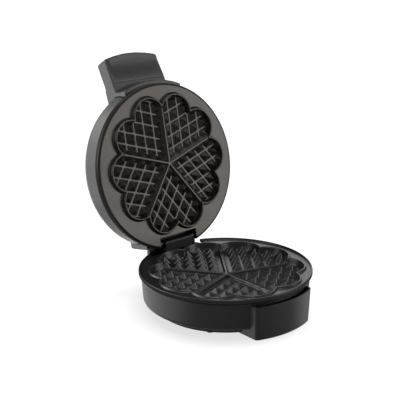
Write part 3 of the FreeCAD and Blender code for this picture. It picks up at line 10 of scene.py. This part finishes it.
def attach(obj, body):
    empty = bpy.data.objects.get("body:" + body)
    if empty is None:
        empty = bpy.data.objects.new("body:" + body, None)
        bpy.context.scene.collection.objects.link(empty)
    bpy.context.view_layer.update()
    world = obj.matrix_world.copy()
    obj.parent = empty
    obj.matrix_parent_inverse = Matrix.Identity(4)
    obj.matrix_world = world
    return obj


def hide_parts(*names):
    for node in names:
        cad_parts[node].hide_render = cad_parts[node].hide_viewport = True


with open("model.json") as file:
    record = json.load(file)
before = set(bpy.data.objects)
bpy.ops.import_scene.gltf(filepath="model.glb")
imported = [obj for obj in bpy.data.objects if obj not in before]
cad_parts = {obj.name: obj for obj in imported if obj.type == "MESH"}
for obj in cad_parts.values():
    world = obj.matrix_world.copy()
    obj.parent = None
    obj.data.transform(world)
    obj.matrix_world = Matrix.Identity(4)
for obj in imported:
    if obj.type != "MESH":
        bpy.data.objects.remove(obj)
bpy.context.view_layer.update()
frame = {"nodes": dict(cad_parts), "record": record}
nodes = frame["nodes"]
scene = bpy.context.scene

# ---------------------------------------------------------------------------
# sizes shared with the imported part, in millimetres
# ---------------------------------------------------------------------------
RIM_Z = 50.0          # rim plane of the lower plate above the ground
CENTRE_Y = -45.06     # base centre
HINGE_Y, HINGE_Z = 95.0, 8.2
OPEN = math.radians(-101.5)
GAP = 0.4
PAT = 3.7             # heart pattern shifted towards the handle
RING, PHI = 64.0, 18.5
S72 = math.sin(math.radians(72))
C72 = math.cos(math.radians(72))

base_m = Matrix.Translation((0, CENTRE_Y, RIM_Z))
lid_m = (base_m @ Matrix.Translation((0, HINGE_Y, HINGE_Z)) @ Matrix.Rotation(OPEN, 4, "X")
         @ Matrix.Translation((0, -HINGE_Y, -HINGE_Z)))
# a plate drawn face up, turned over onto the lid
flip_m = Matrix(((-1, 0, 0, 0), (0, 1, 0, 0), (0, 0, -1, GAP), (0, 0, 0, 1)))
MM = Matrix.Scale(0.001, 4)


# ---------------------------------------------------------------------------
# materials
# ---------------------------------------------------------------------------
class Mat:
    """A principled material with its own noise, bump and edge rounding."""

    def __init__(self, name):
        self.m = bpy.data.materials.new(name)
        self.m.use_nodes = True
        t = self.m.node_tree
        t.nodes.clear()
        self.t = t
        self.out = t.nodes.new("ShaderNodeOutputMaterial")
        self.b = t.nodes.new("ShaderNodeBsdfPrincipled")
        t.links.new(self.b.outputs["BSDF"], self.out.inputs["Surface"])
        self.co = t.nodes.new("ShaderNodeTexCoord")
        self.normal = None

    def link(self, a, b):
        self.t.links.new(a, b)

    def noise(self, scale, detail=3.0, rough=0.5, stretch=None):
        n = self.t.nodes.new("ShaderNodeTexNoise")
        n.inputs["Scale"].default_value = scale
        n.inputs["Detail"].default_value = detail
        n.inputs["Roughness"].default_value = rough
        src = self.co.outputs["Object"]
        if stretch:
            mp = self.t.nodes.new("ShaderNodeMapping")
            mp.inputs["Scale"].default_value = stretch
            self.link(src, mp.inputs["Vector"])
            src = mp.outputs["Vector"]
        self.link(src, n.inputs["Vector"])
        return n.outputs["Fac"]

    def ramp(self, fac, stops):
        r = self.t.nodes.new("ShaderNodeValToRGB")
        el = r.color_ramp.elements
        while len(el) > 1:
            el.remove(el[-1])
        el[0].position, el[0].color = stops[0][0], (*stops[0][1], 1)
        for pos, col in stops[1:]:
            e = el.new(pos)
            e.color = (*col, 1)
        self.link(fac, r.inputs["Fac"])
        return r.outputs["Color"]

    def span(self, fac, a, b, lo, hi):
        r = self.t.nodes.new("ShaderNodeMapRange")
        r.inputs["From Min"].default_value = a
        r.inputs["From Max"].default_value = b
        r.inputs["To Min"].default_value = lo
        r.inputs["To Max"].default_value = hi
        self.link(fac, r.inputs["Value"])
        return r.outputs["Result"]

    def bevel(self, radius, samples=6):
        n = self.t.nodes.new("ShaderNodeBevel")
        n.samples = samples
        n.inputs["Radius"].default_value = radius
        self.normal = n.outputs["Normal"]

    def bump(self, height, strength, distance):
        n = self.t.nodes.new("ShaderNodeBump")
        n.inputs["Strength"].default_value = strength
        n.inputs["Distance"].default_value = distance
        self.link(height, n.inputs["Height"])
        if self.normal is not None:
            self.link(self.normal, n.inputs["Normal"])
        self.normal = n.outputs["Normal"]

    def done(self):
        if self.normal is not None:
            self.link(self.normal, self.b.inputs["Normal"])
        return self.m


def plastic(name, dark, light, rough, spec=0.5, edge=0.0006):
    """Satin moulded plastic: spark-eroded grain, slow flow marks and rounded edges."""
    k = Mat(name)
    flow = k.noise(14, 4, 0.55)
    k.link(k.ramp(flow, [(0.32, dark), (0.68, light)]), k.b.inputs["Base Color"])
    grain = k.noise(1500, 2, 0.6)
    k.link(k.span(grain, 0.3, 0.7, rough - 0.05, rough + 0.06), k.b.inputs["Roughness"])
    k.b.inputs["Specular IOR Level"].default_value = spec
    k.bevel(edge)
    k.bump(grain, 0.10, 0.00012)
    k.bump(k.noise(55, 2, 0.5), 0.04, 0.0006)
    return k.done()


def coating(name, dark, light, rough, spec=0.5, tint=(1, 1, 1, 1), peel_depth=0.0003):
    """Non-stick coating sprayed on a cast plate: orange peel, fine specks, dull patches."""
    k = Mat(name)
    patch = k.noise(22, 5, 0.6)
    speck = k.noise(1100, 3, 0.65)
    k.link(k.ramp(speck, [(0.34, dark), (0.66, light)]), k.b.inputs["Base Color"])
    k.link(k.span(patch, 0.3, 0.7, rough - 0.03, rough + 0.04), k.b.inputs["Roughness"])
    k.b.inputs["Specular IOR Level"].default_value = spec
    k.b.inputs["Specular Tint"].default_value = tint
    k.bump(speck, 0.22, peel_depth)
    k.bump(k.noise(190, 2, 0.5), 0.05, 0.0005)
    return k.done()


def metal(name, dark, light, rough, streak=(1, 1, 12), edge=0.0002):
    """Plated or drawn metal with fine drawing lines and a slightly stained finish."""
    k = Mat(name)
    k.b.inputs["Metallic"].default_value = 1.0
    stain = k.noise(60, 4, 0.6)
    k.link(k.ramp(stain, [(0.3, dark), (0.7, light)]), k.b.inputs["Base Color"])
    line = k.noise(420, 2, 0.6, streak)
    k.link(k.span(line, 0.3, 0.7, rough - 0.06, rough + 0.08), k.b.inputs["Roughness"])
    k.bevel(edge, 4)
    k.bump(line, 0.10, 0.0001)
    return k.done()


def dull(name, dark, light, rough, scale=700, depth=0.0002, edge=0.0004):
    """Rubber, ceramic and sleeving: matt, with a fine broken surface."""
    k = Mat(name)
    body = k.noise(scale, 4, 0.6)
    k.link(k.ramp(k.noise(40, 3, 0.5), [(0.3, dark), (0.7, light)]), k.b.inputs["Base Color"])
    k.link(k.span(body, 0.3, 0.7, rough - 0.06, rough + 0.06), k.b.inputs["Roughness"])
    k.bevel(edge, 4)
    k.bump(body, 0.25, depth)
    return k.done()


def lens(name, dark, light):
    """Tinted clear plastic with a faint moulded swirl."""
    k = Mat(name)
    swirl = k.noise(300, 3, 0.5)
    k.link(k.ramp(swirl, [(0.3, dark), (0.7, light)]), k.b.inputs["Base Color"])
    k.link(k.span(swirl, 0.3, 0.7, 0.06, 0.16), k.b.inputs["Roughness"])
    k.b.inputs["Transmission Weight"].default_value = 0.55
    k.b.inputs["IOR"].default_value = 1.49
    k.bevel(0.0003, 4)
    k.bump(swirl, 0.05, 0.0002)
    return k.done()


housing = plastic("housing_plastic_look", (0.0105, 0.0100, 0.0100), (0.0135, 0.0130, 0.0128), 0.40, 0.5, 0.0012)
lower_coat = coating("lower_plate_coating_look", (0.0085, 0.0085, 0.0090), (0.0120, 0.0118, 0.0120), 0.30, 0.5, (1, 1, 1, 1), 0.0004)
upper_coat = coating("upper_plate_coating_look", (0.0015, 0.0012, 0.0010), (0.0170, 0.0140, 0.0120), 0.30, 0.72,
                     (1.0, 0.93, 0.87, 1.0))
# near-black steel: the hinge pin's own blackened coating, and also painted shade on the plated lid hinge bracket and
# its screws
black_steel = metal("blackened_pin_and_painted_shade_look", (0.030, 0.030, 0.031), (0.060, 0.060, 0.060), 0.34)
steel = metal("plated_steel_look", (0.50, 0.50, 0.51), (0.68, 0.68, 0.68), 0.28)
heater = metal("heater_tube_look", (0.16, 0.15, 0.14), (0.27, 0.25, 0.23), 0.45)
shield = metal("shield_sheet_look", (0.70, 0.71, 0.72), (0.84, 0.85, 0.86), 0.32)
rubber = dull("rubber_look", (0.012, 0.012, 0.012), (0.02, 0.02, 0.02), 0.75)
thermo = metal("thermostat_case_look", (0.62, 0.60, 0.56), (0.76, 0.74, 0.70), 0.36)
fuse = metal("fuse_case_look", (0.55, 0.46, 0.28), (0.68, 0.58, 0.36), 0.35)
ceramic = dull("terminal_ceramic_look", (0.62, 0.60, 0.55), (0.74, 0.72, 0.67), 0.55, 500, 0.00015)
wire = dull("sleeved_wire_look", (0.56, 0.55, 0.52), (0.70, 0.69, 0.66), 0.7, 1600, 0.0002)
red = lens("red_lens_look", (0.50, 0.012, 0.010), (0.62, 0.025, 0.018))
green = lens("green_lens_look", (0.010, 0.36, 0.06), (0.02, 0.46, 0.09))
glass = lens("lamp_glass_look", (0.72, 0.70, 0.62), (0.84, 0.82, 0.74))

LOOKS = {"housing_plastic": housing, "lower_plate_coating": lower_coat, "upper_plate_coating": upper_coat,
         "plated_steel": steel, "black_steel": black_steel, "heater_tube": heater, "shield_sheet": shield, "rubber": rubber,
         "thermostat_case": thermo, "fuse_case": fuse, "terminal_ceramic": ceramic,
         "sleeved_wire": wire, "red_lens": red, "green_lens": green, "lamp_glass": glass}

slot_of = {}
for row in frame["record"]["materials"]:
    for n in row.get("nodes", []):
        slot_of[n] = row["slot"]
for n, o in nodes.items():
    for i in range(len(o.data.materials)):
        old = o.data.materials[i].name.split(".")[0] if o.data.materials[i] else ""
        key = slot_of.get(n, old)
        o.data.materials[i] = LOOKS.get(key, LOOKS.get(old, housing))
    if not o.data.materials:
        o.data.materials.append(LOOKS.get(slot_of.get(n), housing))
# hinge pin and clip take their own blackened finish; the plated lid hinge bracket and its screws are painted the same
# near-black as painted shade, so the gap behind the plate notch reads dark
for n in ("hinge_pin", "hinge_pin_clip", "lid_hinge_bracket", "lid_bracket_screws"):
    for i in range(len(nodes[n].data.materials)):
        nodes[n].data.materials[i] = black_steel


# ---------------------------------------------------------------------------
# the two baking plates: cast reliefs with five hearts
# ---------------------------------------------------------------------------
LOBES = []
for kk in range(5):
    for ang in (72 * kk + PHI, 72 * (kk + 1) - PHI):
        LOBES.append((RING * math.sin(math.radians(ang)), -RING * math.cos(math.radians(ang))))


def outline(px, py, rad):
    """Signed distance to the outline of the five joined hearts: negative inside."""
    cs = np.array(LOBES)
    dist = np.min([np.hypot(px - cx, py - cy) for cx, cy in cs], axis=0)
    cusps = []
    for i in range(10):
        a, b = cs[i], cs[(i + 1) % 10]
        mid = (a + b) / 2
        half = np.linalg.norm(b - a) / 2
        cusps.append(mid + mid / np.linalg.norm(mid) * math.sqrt(rad * rad - half * half))
    cusps = np.array(cusps)
    to_cusp = np.min([np.hypot(px - cx, py - cy) for cx, cy in cusps], axis=0)
    ang = np.arctan2(px, -py)
    cang = np.unwrap(np.arctan2(cusps[:, 0], -cusps[:, 1]))
    rr = np.hypot(px, py)
    # radius of the chain of cusps and arcs at each angle tells inside from outside
    inside = np.zeros_like(px, bool)
    order = np.argsort(np.mod(cang, 2 * math.pi))
    ca = np.mod(cang, 2 * math.pi)[order]
    a2 = np.mod(ang, 2 * math.pi)
    inside |= dist < rad
    sector = np.searchsorted(ca, a2) % 10
    p0 = cusps[order][(sector - 1) % 10]
    p1 = cusps[order][sector]
    # chord between neighbouring cusps: everything on the centre side of it is inside
    cross = (p1[..., 0] - p0[..., 0]) * (py - p0[..., 1]) - (p1[..., 1] - p0[..., 1]) * (px - p0[..., 0])
    zero = (p1[..., 0] - p0[..., 0]) * (0 - p0[..., 1]) - (p1[..., 1] - p0[..., 1]) * (0 - p0[..., 0])
    inside |= (cross * zero > 0)
    # distance to the arcs, seen from inside, only where the nearest point lies on that arc
    arc = np.full_like(px, 1e9)
    for i, (cx, cy) in enumerate(cs):
        qa, qb = cusps[(i - 1) % 10] - cs[i], cusps[i] - cs[i]
        a0 = math.atan2(qa[1], qa[0])
        w = (math.atan2(qb[1], qb[0]) - a0) % (2 * math.pi)
        th = np.mod(np.arctan2(py - cy, px - cx) - a0, 2 * math.pi)
        on = th <= w
        dd = np.abs(rad - np.hypot(px - cx, py - cy))
        arc = np.where(on, np.minimum(arc, dd), arc)
    inner = np.minimum(arc, to_cusp)
    return np.where(inside, -inner, np.maximum(dist - rad, 0.0))


def hearts_frame(px, py):
    """Steps along the two divider directions of the heart a point lies in, and the distance to a divider."""
    ang = np.mod(np.arctan2(px, -py), 2 * math.pi)
    f = np.mod(ang, math.radians(72))
    r = np.hypot(px, py)
    t = r * np.sin(f) / S72
    s = r * np.cos(f) - t * C72
    div = r * np.sin(np.minimum(f, math.radians(72) - f))
    return s, t, div


def near_lobe(s, t, rad):
    """Whether a stud centred at s, t stands well inside its heart."""
    x, y = t * S72, -(s + t * C72)
    ok = np.hypot(x, y) < 58
    for cx, cy in LOBES[:2]:
        ok = ok | (np.hypot(x - cx, y - cy) < rad)
    return ok


def studs(s, t, first, top, flat, pitch, lean, near):
    """Rhombic studs: height of the nearest one."""
    i = np.maximum(np.round((s - first) / pitch), 0)
    j = np.maximum(np.round((t - first) / pitch), 0)
    sc, tc = first + i * pitch, first + j * pitch
    a, b = np.abs(s - sc) * S72, np.abs(t - tc) * S72
    far = (a ** 16 + b ** 16) ** 0.0625
    z = top - np.maximum(far - flat, 0) * lean
    return np.where(near_lobe(sc, tc, near), z, -60.0)


def soften(z, step, sigma):
    n = int(math.ceil(3 * sigma / step))
    k = np.exp(-0.5 * (np.arange(-n, n + 1) * step / sigma) ** 2)
    k /= k.sum()
    zp = np.pad(z, n, mode="edge")
    out = np.zeros((z.shape[0], zp.shape[1]))
    for i, w in enumerate(k):
        out += w * zp[i:i + z.shape[0], :]
    res = np.zeros_like(z)
    for i, w in enumerate(k):
        res += w * out[:, i:i + z.shape[1]]
    return res


def lower_relief(x, y):
    px, py = x, y + PAT
    e = outline(px, py, 28.9)
    s, t, div = hearts_frame(px, py)
    # concave wall rising to the lip, then the lip's outer slope down to the flange
    run = np.clip((e + 5.6) / 4.8, 0, 1)
    z_in = -11.0 + 11.0 * run ** 2.0
    z_in = np.maximum(z_in, studs(s, t, 15.0, -5.0, 0.4, 15.185, 1.0, 27.0))
    # dividers: low rails with a shallow groove between them
    rails = np.where(div > 2.2, -7.6 - (div - 2.2) * 4.0, -7.6 - np.maximum(1.9 - div, 0) * 0.6)
    z_in = np.maximum(z_in, np.where(e < -0.5, rails, -60))
    z_out = np.maximum(0.0 - np.maximum(e - 0.8, 0) * (2.4 / 1.2), -2.4)
    return np.where(e < 0, z_in, z_out)


def upper_relief(x, y):
    px, py = x, y + PAT
    e = outline(px, py, 23.1)
    s, t, div = hearts_frame(px, py)
    z_in = np.maximum(5.2 - np.maximum(-e - 1.2, 0) * (7.2 / 1.1), -2.0)
    z_in = np.maximum(z_in, studs(s, t, 6.65, 3.4, 0.55, 15.185, 0.98, 26.0))
    z_in = np.where(e > -1.2, 5.2, z_in)
    z_in = np.maximum(z_in, np.where(e < -0.5, 4.0 - np.maximum(div - 1.1, 0) * 1.15, -60))
    z_out = np.maximum(5.2 - np.maximum(e - 1.1, 0) * (5.2 / 1.2), 0.0)
    return np.where(e < 0, z_in, z_out)


def sampler(relief, sigma, step=0.3, half=101.5):
    ax = np.arange(-half, half + step, step)
    gx, gy = np.meshgrid(ax, ax, indexing="xy")
    z = soften(relief(gx, gy), step, sigma)

    def at(x, y):
        u = np.clip((x - ax[0]) / step, 0, len(ax) - 1.001)
        v = np.clip((y - ax[0]) / step, 0, len(ax) - 1.001)
        i, j = u.astype(int), v.astype(int)
        fu, fv = u - i, v - j
        return (z[j, i] * (1 - fu) * (1 - fv) + z[j, i + 1] * fu * (1 - fv)
                + z[j + 1, i] * (1 - fu) * fv + z[j + 1, i + 1] * fu * fv)
    return at


def plate(name, relief, sigma, rim, under, seg=900):
    """Closed cast plate: relief on top, rolled rim outside, turned steps underneath."""
    at = sampler(relief, sigma)
    radii = [0.35 * 1.25 ** i for i in range(0, 12)]
    radii = [r for r in radii if r < 4.0]
    r = 4.0
    while r < 98.2:
        radii.append(r)
        r += 0.5
    ang = np.arange(seg) * 2 * math.pi / seg
    cs, sn = np.cos(ang), np.sin(ang)
    rows = []
    for rad in radii:
        rows.append(np.stack([rad * cs, rad * sn, at(rad * cs, rad * sn)], 1))
    for rad, z in rim + under:
        rows.append(np.stack([rad * cs, rad * sn, np.full(seg, z)], 1))
    verts = np.concatenate(rows)
    n = len(rows)
    faces = []
    for i in range(n - 1):
        a = i * seg
        for j in range(seg):
            k = (j + 1) % seg
            faces.append((a + j, a + seg + j, a + seg + k, a + k))
    top = len(verts)
    z0 = float(at(np.array([0.0]), np.array([0.0]))[0])
    verts = np.concatenate([verts, [[0, 0, z0], [0, 0, under[-1][1]]]])
    last = (n - 1) * seg
    for j in range(seg):
        k = (j + 1) % seg
        faces.append((top, j, k))
        faces.append((top + 1, last + k, last + j))
    me = bpy.data.meshes.new(name)
    me.from_pydata([tuple(v) for v in verts], [], faces)
    me.validate()
    ob = bpy.data.objects.new(name, me)
    scene.collection.objects.link(ob)
    return ob


def box_mesh(x0, x1, y0, y1, z0, z1):
    me = bpy.data.meshes.new("cutter")
    bm = bmesh.new()
    vs = [bm.verts.new((x, y, z)) for x in (x0, x1) for y in (y0, y1) for z in (z0, z1)]
    for f in ((0, 1, 3, 2), (4, 6, 7, 5), (0, 4, 5, 1), (2, 3, 7, 6), (0, 2, 6, 4), (1, 5, 7, 3)):
        bm.faces.new([vs[i] for i in f])
    bmesh.ops.recalc_face_normals(bm, faces=bm.faces[:])
    bm.to_mesh(me)
    bm.free()
    ob = bpy.data.objects.new("cutter", me)
    scene.collection.objects.link(ob)
    return ob


def cut(ob, *boxes):
    for b in boxes:
        c = box_mesh(*b)
        m = ob.modifiers.new("cut", "BOOLEAN")
        m.operation = "DIFFERENCE"
        m.solver = "EXACT"
        m.object = c
        bpy.context.view_layer.update()
        new = bpy.data.meshes.new_from_object(ob.evaluated_get(bpy.context.evaluated_depsgraph_get()))
        ob.modifiers.clear()
        old = ob.data
        ob.data = new
        bpy.data.meshes.remove(old)
        bpy.data.objects.remove(c)


def settle(ob, matrix, mat, body, node, sharp=40):
    me = ob.data
    me.transform(MM @ matrix)
    bm = bmesh.new()
    bm.from_mesh(me)
    bmesh.ops.recalc_face_normals(bm, faces=bm.faces[:])
    bm.to_mesh(me)
    bm.free()
    for p in me.polygons:
        p.use_smooth = True
    me.set_sharp_from_angle(angle=math.radians(sharp))
    me.materials.clear()
    me.materials.append(mat)
    me.name = ob.name
    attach(ob, body)
    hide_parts(node)


low = plate("lower_plate_cast", lower_relief, 0.25, [
    (99.5, -2.4), (100.8, -2.4), (101.4, -2.33), (101.75, -2.0), (101.95, -1.4), (102.1, -0.75), (102.35, -0.28),
    (102.7, -0.05), (103.05, -0.02), (103.45, -0.14), (103.75, -0.42), (103.93, -0.8), (104.0, -1.2)], [
    (104.0, -4.2), (100.6, -4.2), (100.6, -7.3), (97.4, -7.3), (97.4, -8.6), (94.0, -8.6), (94.0, -14.5), (40.0, -14.5),
    (8.0, -14.5)])
cut(low, (-41, 41, 88, 112, -4.2, 4), (-22.3, 22.3, 86.4, 112, -30, 4))
settle(low, base_m, lower_coat, "base", "lower_plate")

upp = plate("upper_plate_cast", upper_relief, 0.27, [
    (99.5, 0.0), (100.6, 0.0), (101.2, -0.02), (101.6, -0.12), (102.4, -0.46), (103.2, -0.80), (103.6, -1.02),
    (103.85, -1.35), (104.0, -1.9)], [
    (104.0, -6.6), (100.6, -6.6), (100.6, -9.2), (97.4, -9.2), (96.0, -10.5), (40.0, -10.5), (8.0, -10.5)])
cut(upp, (-29.2, 29.2, 85.6, 112, -30, 4))
settle(upp, lid_m @ flip_m, upper_coat, "lid", "upper_plate")


# ---------------------------------------------------------------------------
# lid handle: the moulded paddle with its edges and corners run into each other
# ---------------------------------------------------------------------------
def rounded(node, name, voxel, factor, times):
    """A node's own shape, re-skinned evenly so that its edges round over."""
    src = nodes[node]
    ob = bpy.data.objects.new(name, src.data.copy())
    scene.collection.objects.link(ob)
    bm = bmesh.new()
    bm.from_mesh(ob.data)
    bmesh.ops.remove_doubles(bm, verts=bm.verts[:], dist=1e-6)
    bm.to_mesh(ob.data)
    bm.free()
    m = ob.modifiers.new("skin", "REMESH")
    m.mode = "VOXEL"
    m.voxel_size = voxel
    m = ob.modifiers.new("ease", "SMOOTH")
    m.factor = factor
    m.iterations = times
    bpy.context.view_layer.update()
    new = bpy.data.meshes.new_from_object(ob.evaluated_get(bpy.context.evaluated_depsgraph_get()))
    ob.modifiers.clear()
    old = ob.data
    ob.data = new
    bpy.data.meshes.remove(old)
    new.name = name
    for p in new.polygons:
        p.use_smooth = True
    new.materials.clear()
    return ob


def scoop(ob):
    """The step round the paddle's hollow underside eased into one shallow scoop."""
    tilt = math.radians(18.43)
    me = ob.data
    n = len(me.vertices)
    co = np.empty(n * 3)
    me.vertices.foreach_get("co", co)
    to_world = np.array(ob.matrix_world)
    inv = np.array(lid_m.inverted())
    pts = np.c_[co.reshape(n, 3), np.ones(n)] @ to_world.T
    pts[:, :3] *= 1000.0
    loc = pts @ inv.T
    x, dy, dz = loc[:, 0], loc[:, 1] + 121.0, loc[:, 2] - 38.8
    h = dy * math.sin(tilt) + dz * math.cos(tilt)
    w = dy * math.cos(tilt) - dz * math.sin(tilt)
    end = w - (112.4 - np.sqrt(np.maximum(140.2 ** 2 - x ** 2, 1.0)))

    def ease(v):
        v = np.clip(v, 0, 1)
        return v * v * (3 - 2 * v)
    deep = (2.7 * ease((x + 40.0) / 8) * (0.66 + 0.34 * ease((41 - x) / 14)) * (0.6 + 0.4 * ease(end / 9))
            * ease((8.6 - w) / 24))
    rimmed = (x > 39.6) | (end < 1.3)
    zone = (x > -40.0) & (w < 9.6) & (h > -0.8)
    move = np.where(zone & ~rimmed & (h < 3.3), deep - h, 0.0)
    move = np.where(zone & rimmed & (h < 6.0), deep * (1 - np.clip(h, 0, 6) / 6), move)
    move *= np.where(w > 8.6, ease((9.6 - w) / 1.0), 1.0)
    loc[:, 1] += move * math.sin(tilt)
    loc[:, 2] += move * math.cos(tilt)
    new = loc @ np.array(lid_m).T
    new[:, :3] /= 1000.0
    new = new @ np.linalg.inv(to_world).T
    me.vertices.foreach_set("co", np.ascontiguousarray(new[:, :3]).ravel())
    me.update()


grip = rounded("lid_handle", "lid_handle_moulded", 0.0008, 0.5, 14)
scoop(grip)
grip.data.materials.append(housing)
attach(grip, "lid")
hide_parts("lid_handle")


# ---------------------------------------------------------------------------
# floor, light and camera
# ---------------------------------------------------------------------------
def floor_disc(radius, rings=24, seg=96):
    me = bpy.data.meshes.new("studio_floor")
    bm = bmesh.new()
    grid = []
    for i in range(rings + 1):
        rad = radius * (i / rings) ** 2.2 + 0.02
        grid.append([bm.verts.new((rad * math.cos(2 * math.pi * j / seg), rad * math.sin(2 * math.pi * j / seg), 0))
                     for j in range(seg)])
    bm.faces.new(grid[0])
    for i in range(rings):
        for j in range(seg):
            k = (j + 1) % seg
            bm.faces.new((grid[i][j], grid[i + 1][j], grid[i + 1][k], grid[i][k]))
    bmesh.ops.recalc_face_normals(bm, faces=bm.faces[:])
    bm.to_mesh(me)
    bm.free()
    ob = bpy.data.objects.new("studio_floor", me)
    scene.collection.objects.link(ob)
    return ob


floor = floor_disc(12.0)
floor.location.z = -0.0001
paper = Mat("paper_sweep")
paper.link(paper.ramp(paper.noise(6, 3, 0.5), [(0.3, (0.395, 0.395, 0.395)), (0.7, (0.405, 0.405, 0.405))]),
           paper.b.inputs["Base Color"])
paper.b.inputs["Roughness"].default_value = 0.9
paper.b.inputs["Specular IOR Level"].default_value = 0.1
paper.b.inputs["Emission Color"].default_value = (1, 1, 1, 1)
paper.b.inputs["Emission Strength"].default_value = 0.72
paper.bump(paper.noise(900, 2, 0.5), 0.02, 0.0002)
floor.data.materials.append(paper.done())
floor.visible_glossy = False
floor.visible_shadow = False

things = bpy.data.collections.new("lit_pieces")
ground = bpy.data.collections.new("lit_ground")
scene.collection.children.link(things)
scene.collection.children.link(ground)
for o in list(nodes.values()) + [low, upp, grip]:
    things.objects.link(o)
ground.objects.link(floor)


def softbox(name, place, aim, w, h, level, to=things):
    """Area light of even brightness: level is its radiance."""
    d = bpy.data.lights.new(name, "AREA")
    d.shape = "RECTANGLE"
    d.size, d.size_y = w, h
    d.energy = level * math.pi * w * h
    o = bpy.data.objects.new(name, d)
    scene.collection.objects.link(o)
    o.location = place
    o.rotation_euler = (Vector(aim) - Vector(place)).to_track_quat("-Z", "Y").to_euler()
    o.visible_camera = False
    o.light_linking.receiver_collection = to
    return o


shells = bpy.data.collections.new("lit_shells")
scene.collection.children.link(shells)
for o in (nodes["lid_frame"], nodes["lid_top_panel"], grip):
    shells.objects.link(o)
grips = bpy.data.collections.new("lit_grip")
scene.collection.children.link(grips)
grips.objects.link(grip)
lows = bpy.data.collections.new("lit_lower_plate")
scene.collection.children.link(lows)
lows.objects.link(low)
bases = bpy.data.collections.new("lit_base")
scene.collection.children.link(bases)
bases.objects.link(nodes["base_shell"])
softbox("left_box", (-1.45, 0.75, 0.85), (0, 0, 0.14), 1.4, 1.4, 1.8)
softbox("left_low", (-1.45, 1.20, 0.15), (0, 0.05, 0.16), 2.4, 2.8, 2.1, shells)
softbox("back_high", (-0.60, 1.55, 1.35), (0, 0.1, 0.16), 1.4, 1.2, 3.4, shells)
softbox("back_under", (0.40, 1.55, -0.60), (0, 0.05, 0.10), 2.0, 1.6, 2.6, shells)
softbox("right_box", (1.05, -1.35, 0.30), (0, 0.05, 0.15), 1.1, 1.0, 2.5)
softbox("back_card", (1.30, 1.15, 0.62), (0, 0, 0.05), 1.9, 1.2, 1.2)
softbox("top_box", (0.1, 0.1, 1.6), (0, 0, 0), 1.2, 1.2, 0.8)
softbox("grip_fill", (1.10, -1.00, 1.10), (0.0, 0.1, 0.26), 1.3, 1.0, 1.9, grips)
softbox("grip_front", (0.15, -1.40, 1.30), (0.0, 0.1, 0.26), 0.9, 0.9, 2.8, grips)
softbox("plate_top", (-0.25, -0.40, 1.60), (0, -0.04, 0.05), 0.9, 0.9, 4.0, lows)
softbox("plate_left", (-1.00, 1.25, 0.85), (0, -0.05, 0.05), 0.9, 0.9, 4.0, lows)
softbox("plate_back", (1.30, 1.15, 0.62), (0, 0, 0.05), 1.9, 1.2, 0.8, lows)
softbox("pocket_card", (1.60, -0.50, -0.35), (0, -0.12, 0.03), 1.0, 1.0, 1.1, bases)
softbox("base_left", (-1.45, 1.20, 0.15), (0, 0.05, 0.16), 2.4, 2.8, 1.3, bases)
softbox("base_back", (0.40, 1.55, -0.60), (0, 0.05, 0.10), 2.0, 1.6, 0.9, bases)

sun = bpy.data.lights.new("floor_sun", "SUN")
sun.energy = 3.3
sun.angle = math.radians(60)
so = bpy.data.objects.new("floor_sun", sun)
scene.collection.objects.link(so)
so.rotation_euler = (Vector((-0.25, -0.25, -1.0))).to_track_quat("-Z", "Y").to_euler()
so.light_linking.receiver_collection = ground

world = bpy.data.worlds.new("studio")
scene.world = world
world.use_nodes = True
wt = world.node_tree
wt.nodes.clear()
wo = wt.nodes.new("ShaderNodeOutputWorld")
mix = wt.nodes.new("ShaderNodeMixShader")
dim = wt.nodes.new("ShaderNodeBackground")
dim.inputs["Color"].default_value = (1.0, 1.0, 1.0, 1)
dim.inputs["Strength"].default_value = 0.20
bright = wt.nodes.new("ShaderNodeBackground")
bright.inputs["Color"].default_value = (1, 1, 1, 1)
bright.inputs["Strength"].default_value = 1.0
path = wt.nodes.new("ShaderNodeLightPath")
wt.links.new(path.outputs["Is Camera Ray"], mix.inputs["Fac"])
wt.links.new(dim.outputs["Background"], mix.inputs[1])
wt.links.new(bright.outputs["Background"], mix.inputs[2])
wt.links.new(mix.outputs["Shader"], wo.inputs["Surface"])

cam = bpy.data.cameras.new("photo_camera")
cam.lens = 81.113
cam.sensor_width = 36.0
cam.sensor_fit = "HORIZONTAL"
cam.clip_start = 0.05
cam.clip_end = 60.0
co = bpy.data.objects.new("photo_camera", cam)
scene.collection.objects.link(co)
right, up, back = (0.76042, -0.64939, -0.00819), (0.19551, 0.21687, 0.95642), (-0.61931, -0.72888, 0.29187)
co.matrix_world = Matrix(((right[0], up[0], back[0], -0.676513), (right[1], up[1], back[1], -0.795306),
                          (right[2], up[2], back[2], 0.441138), (0, 0, 0, 1)))
scene.camera = co
scene.view_settings.view_transform = "Standard"
scene.view_settings.look = "None"
scene.view_settings.exposure = 0.0
scene.view_settings.gamma = 1.0
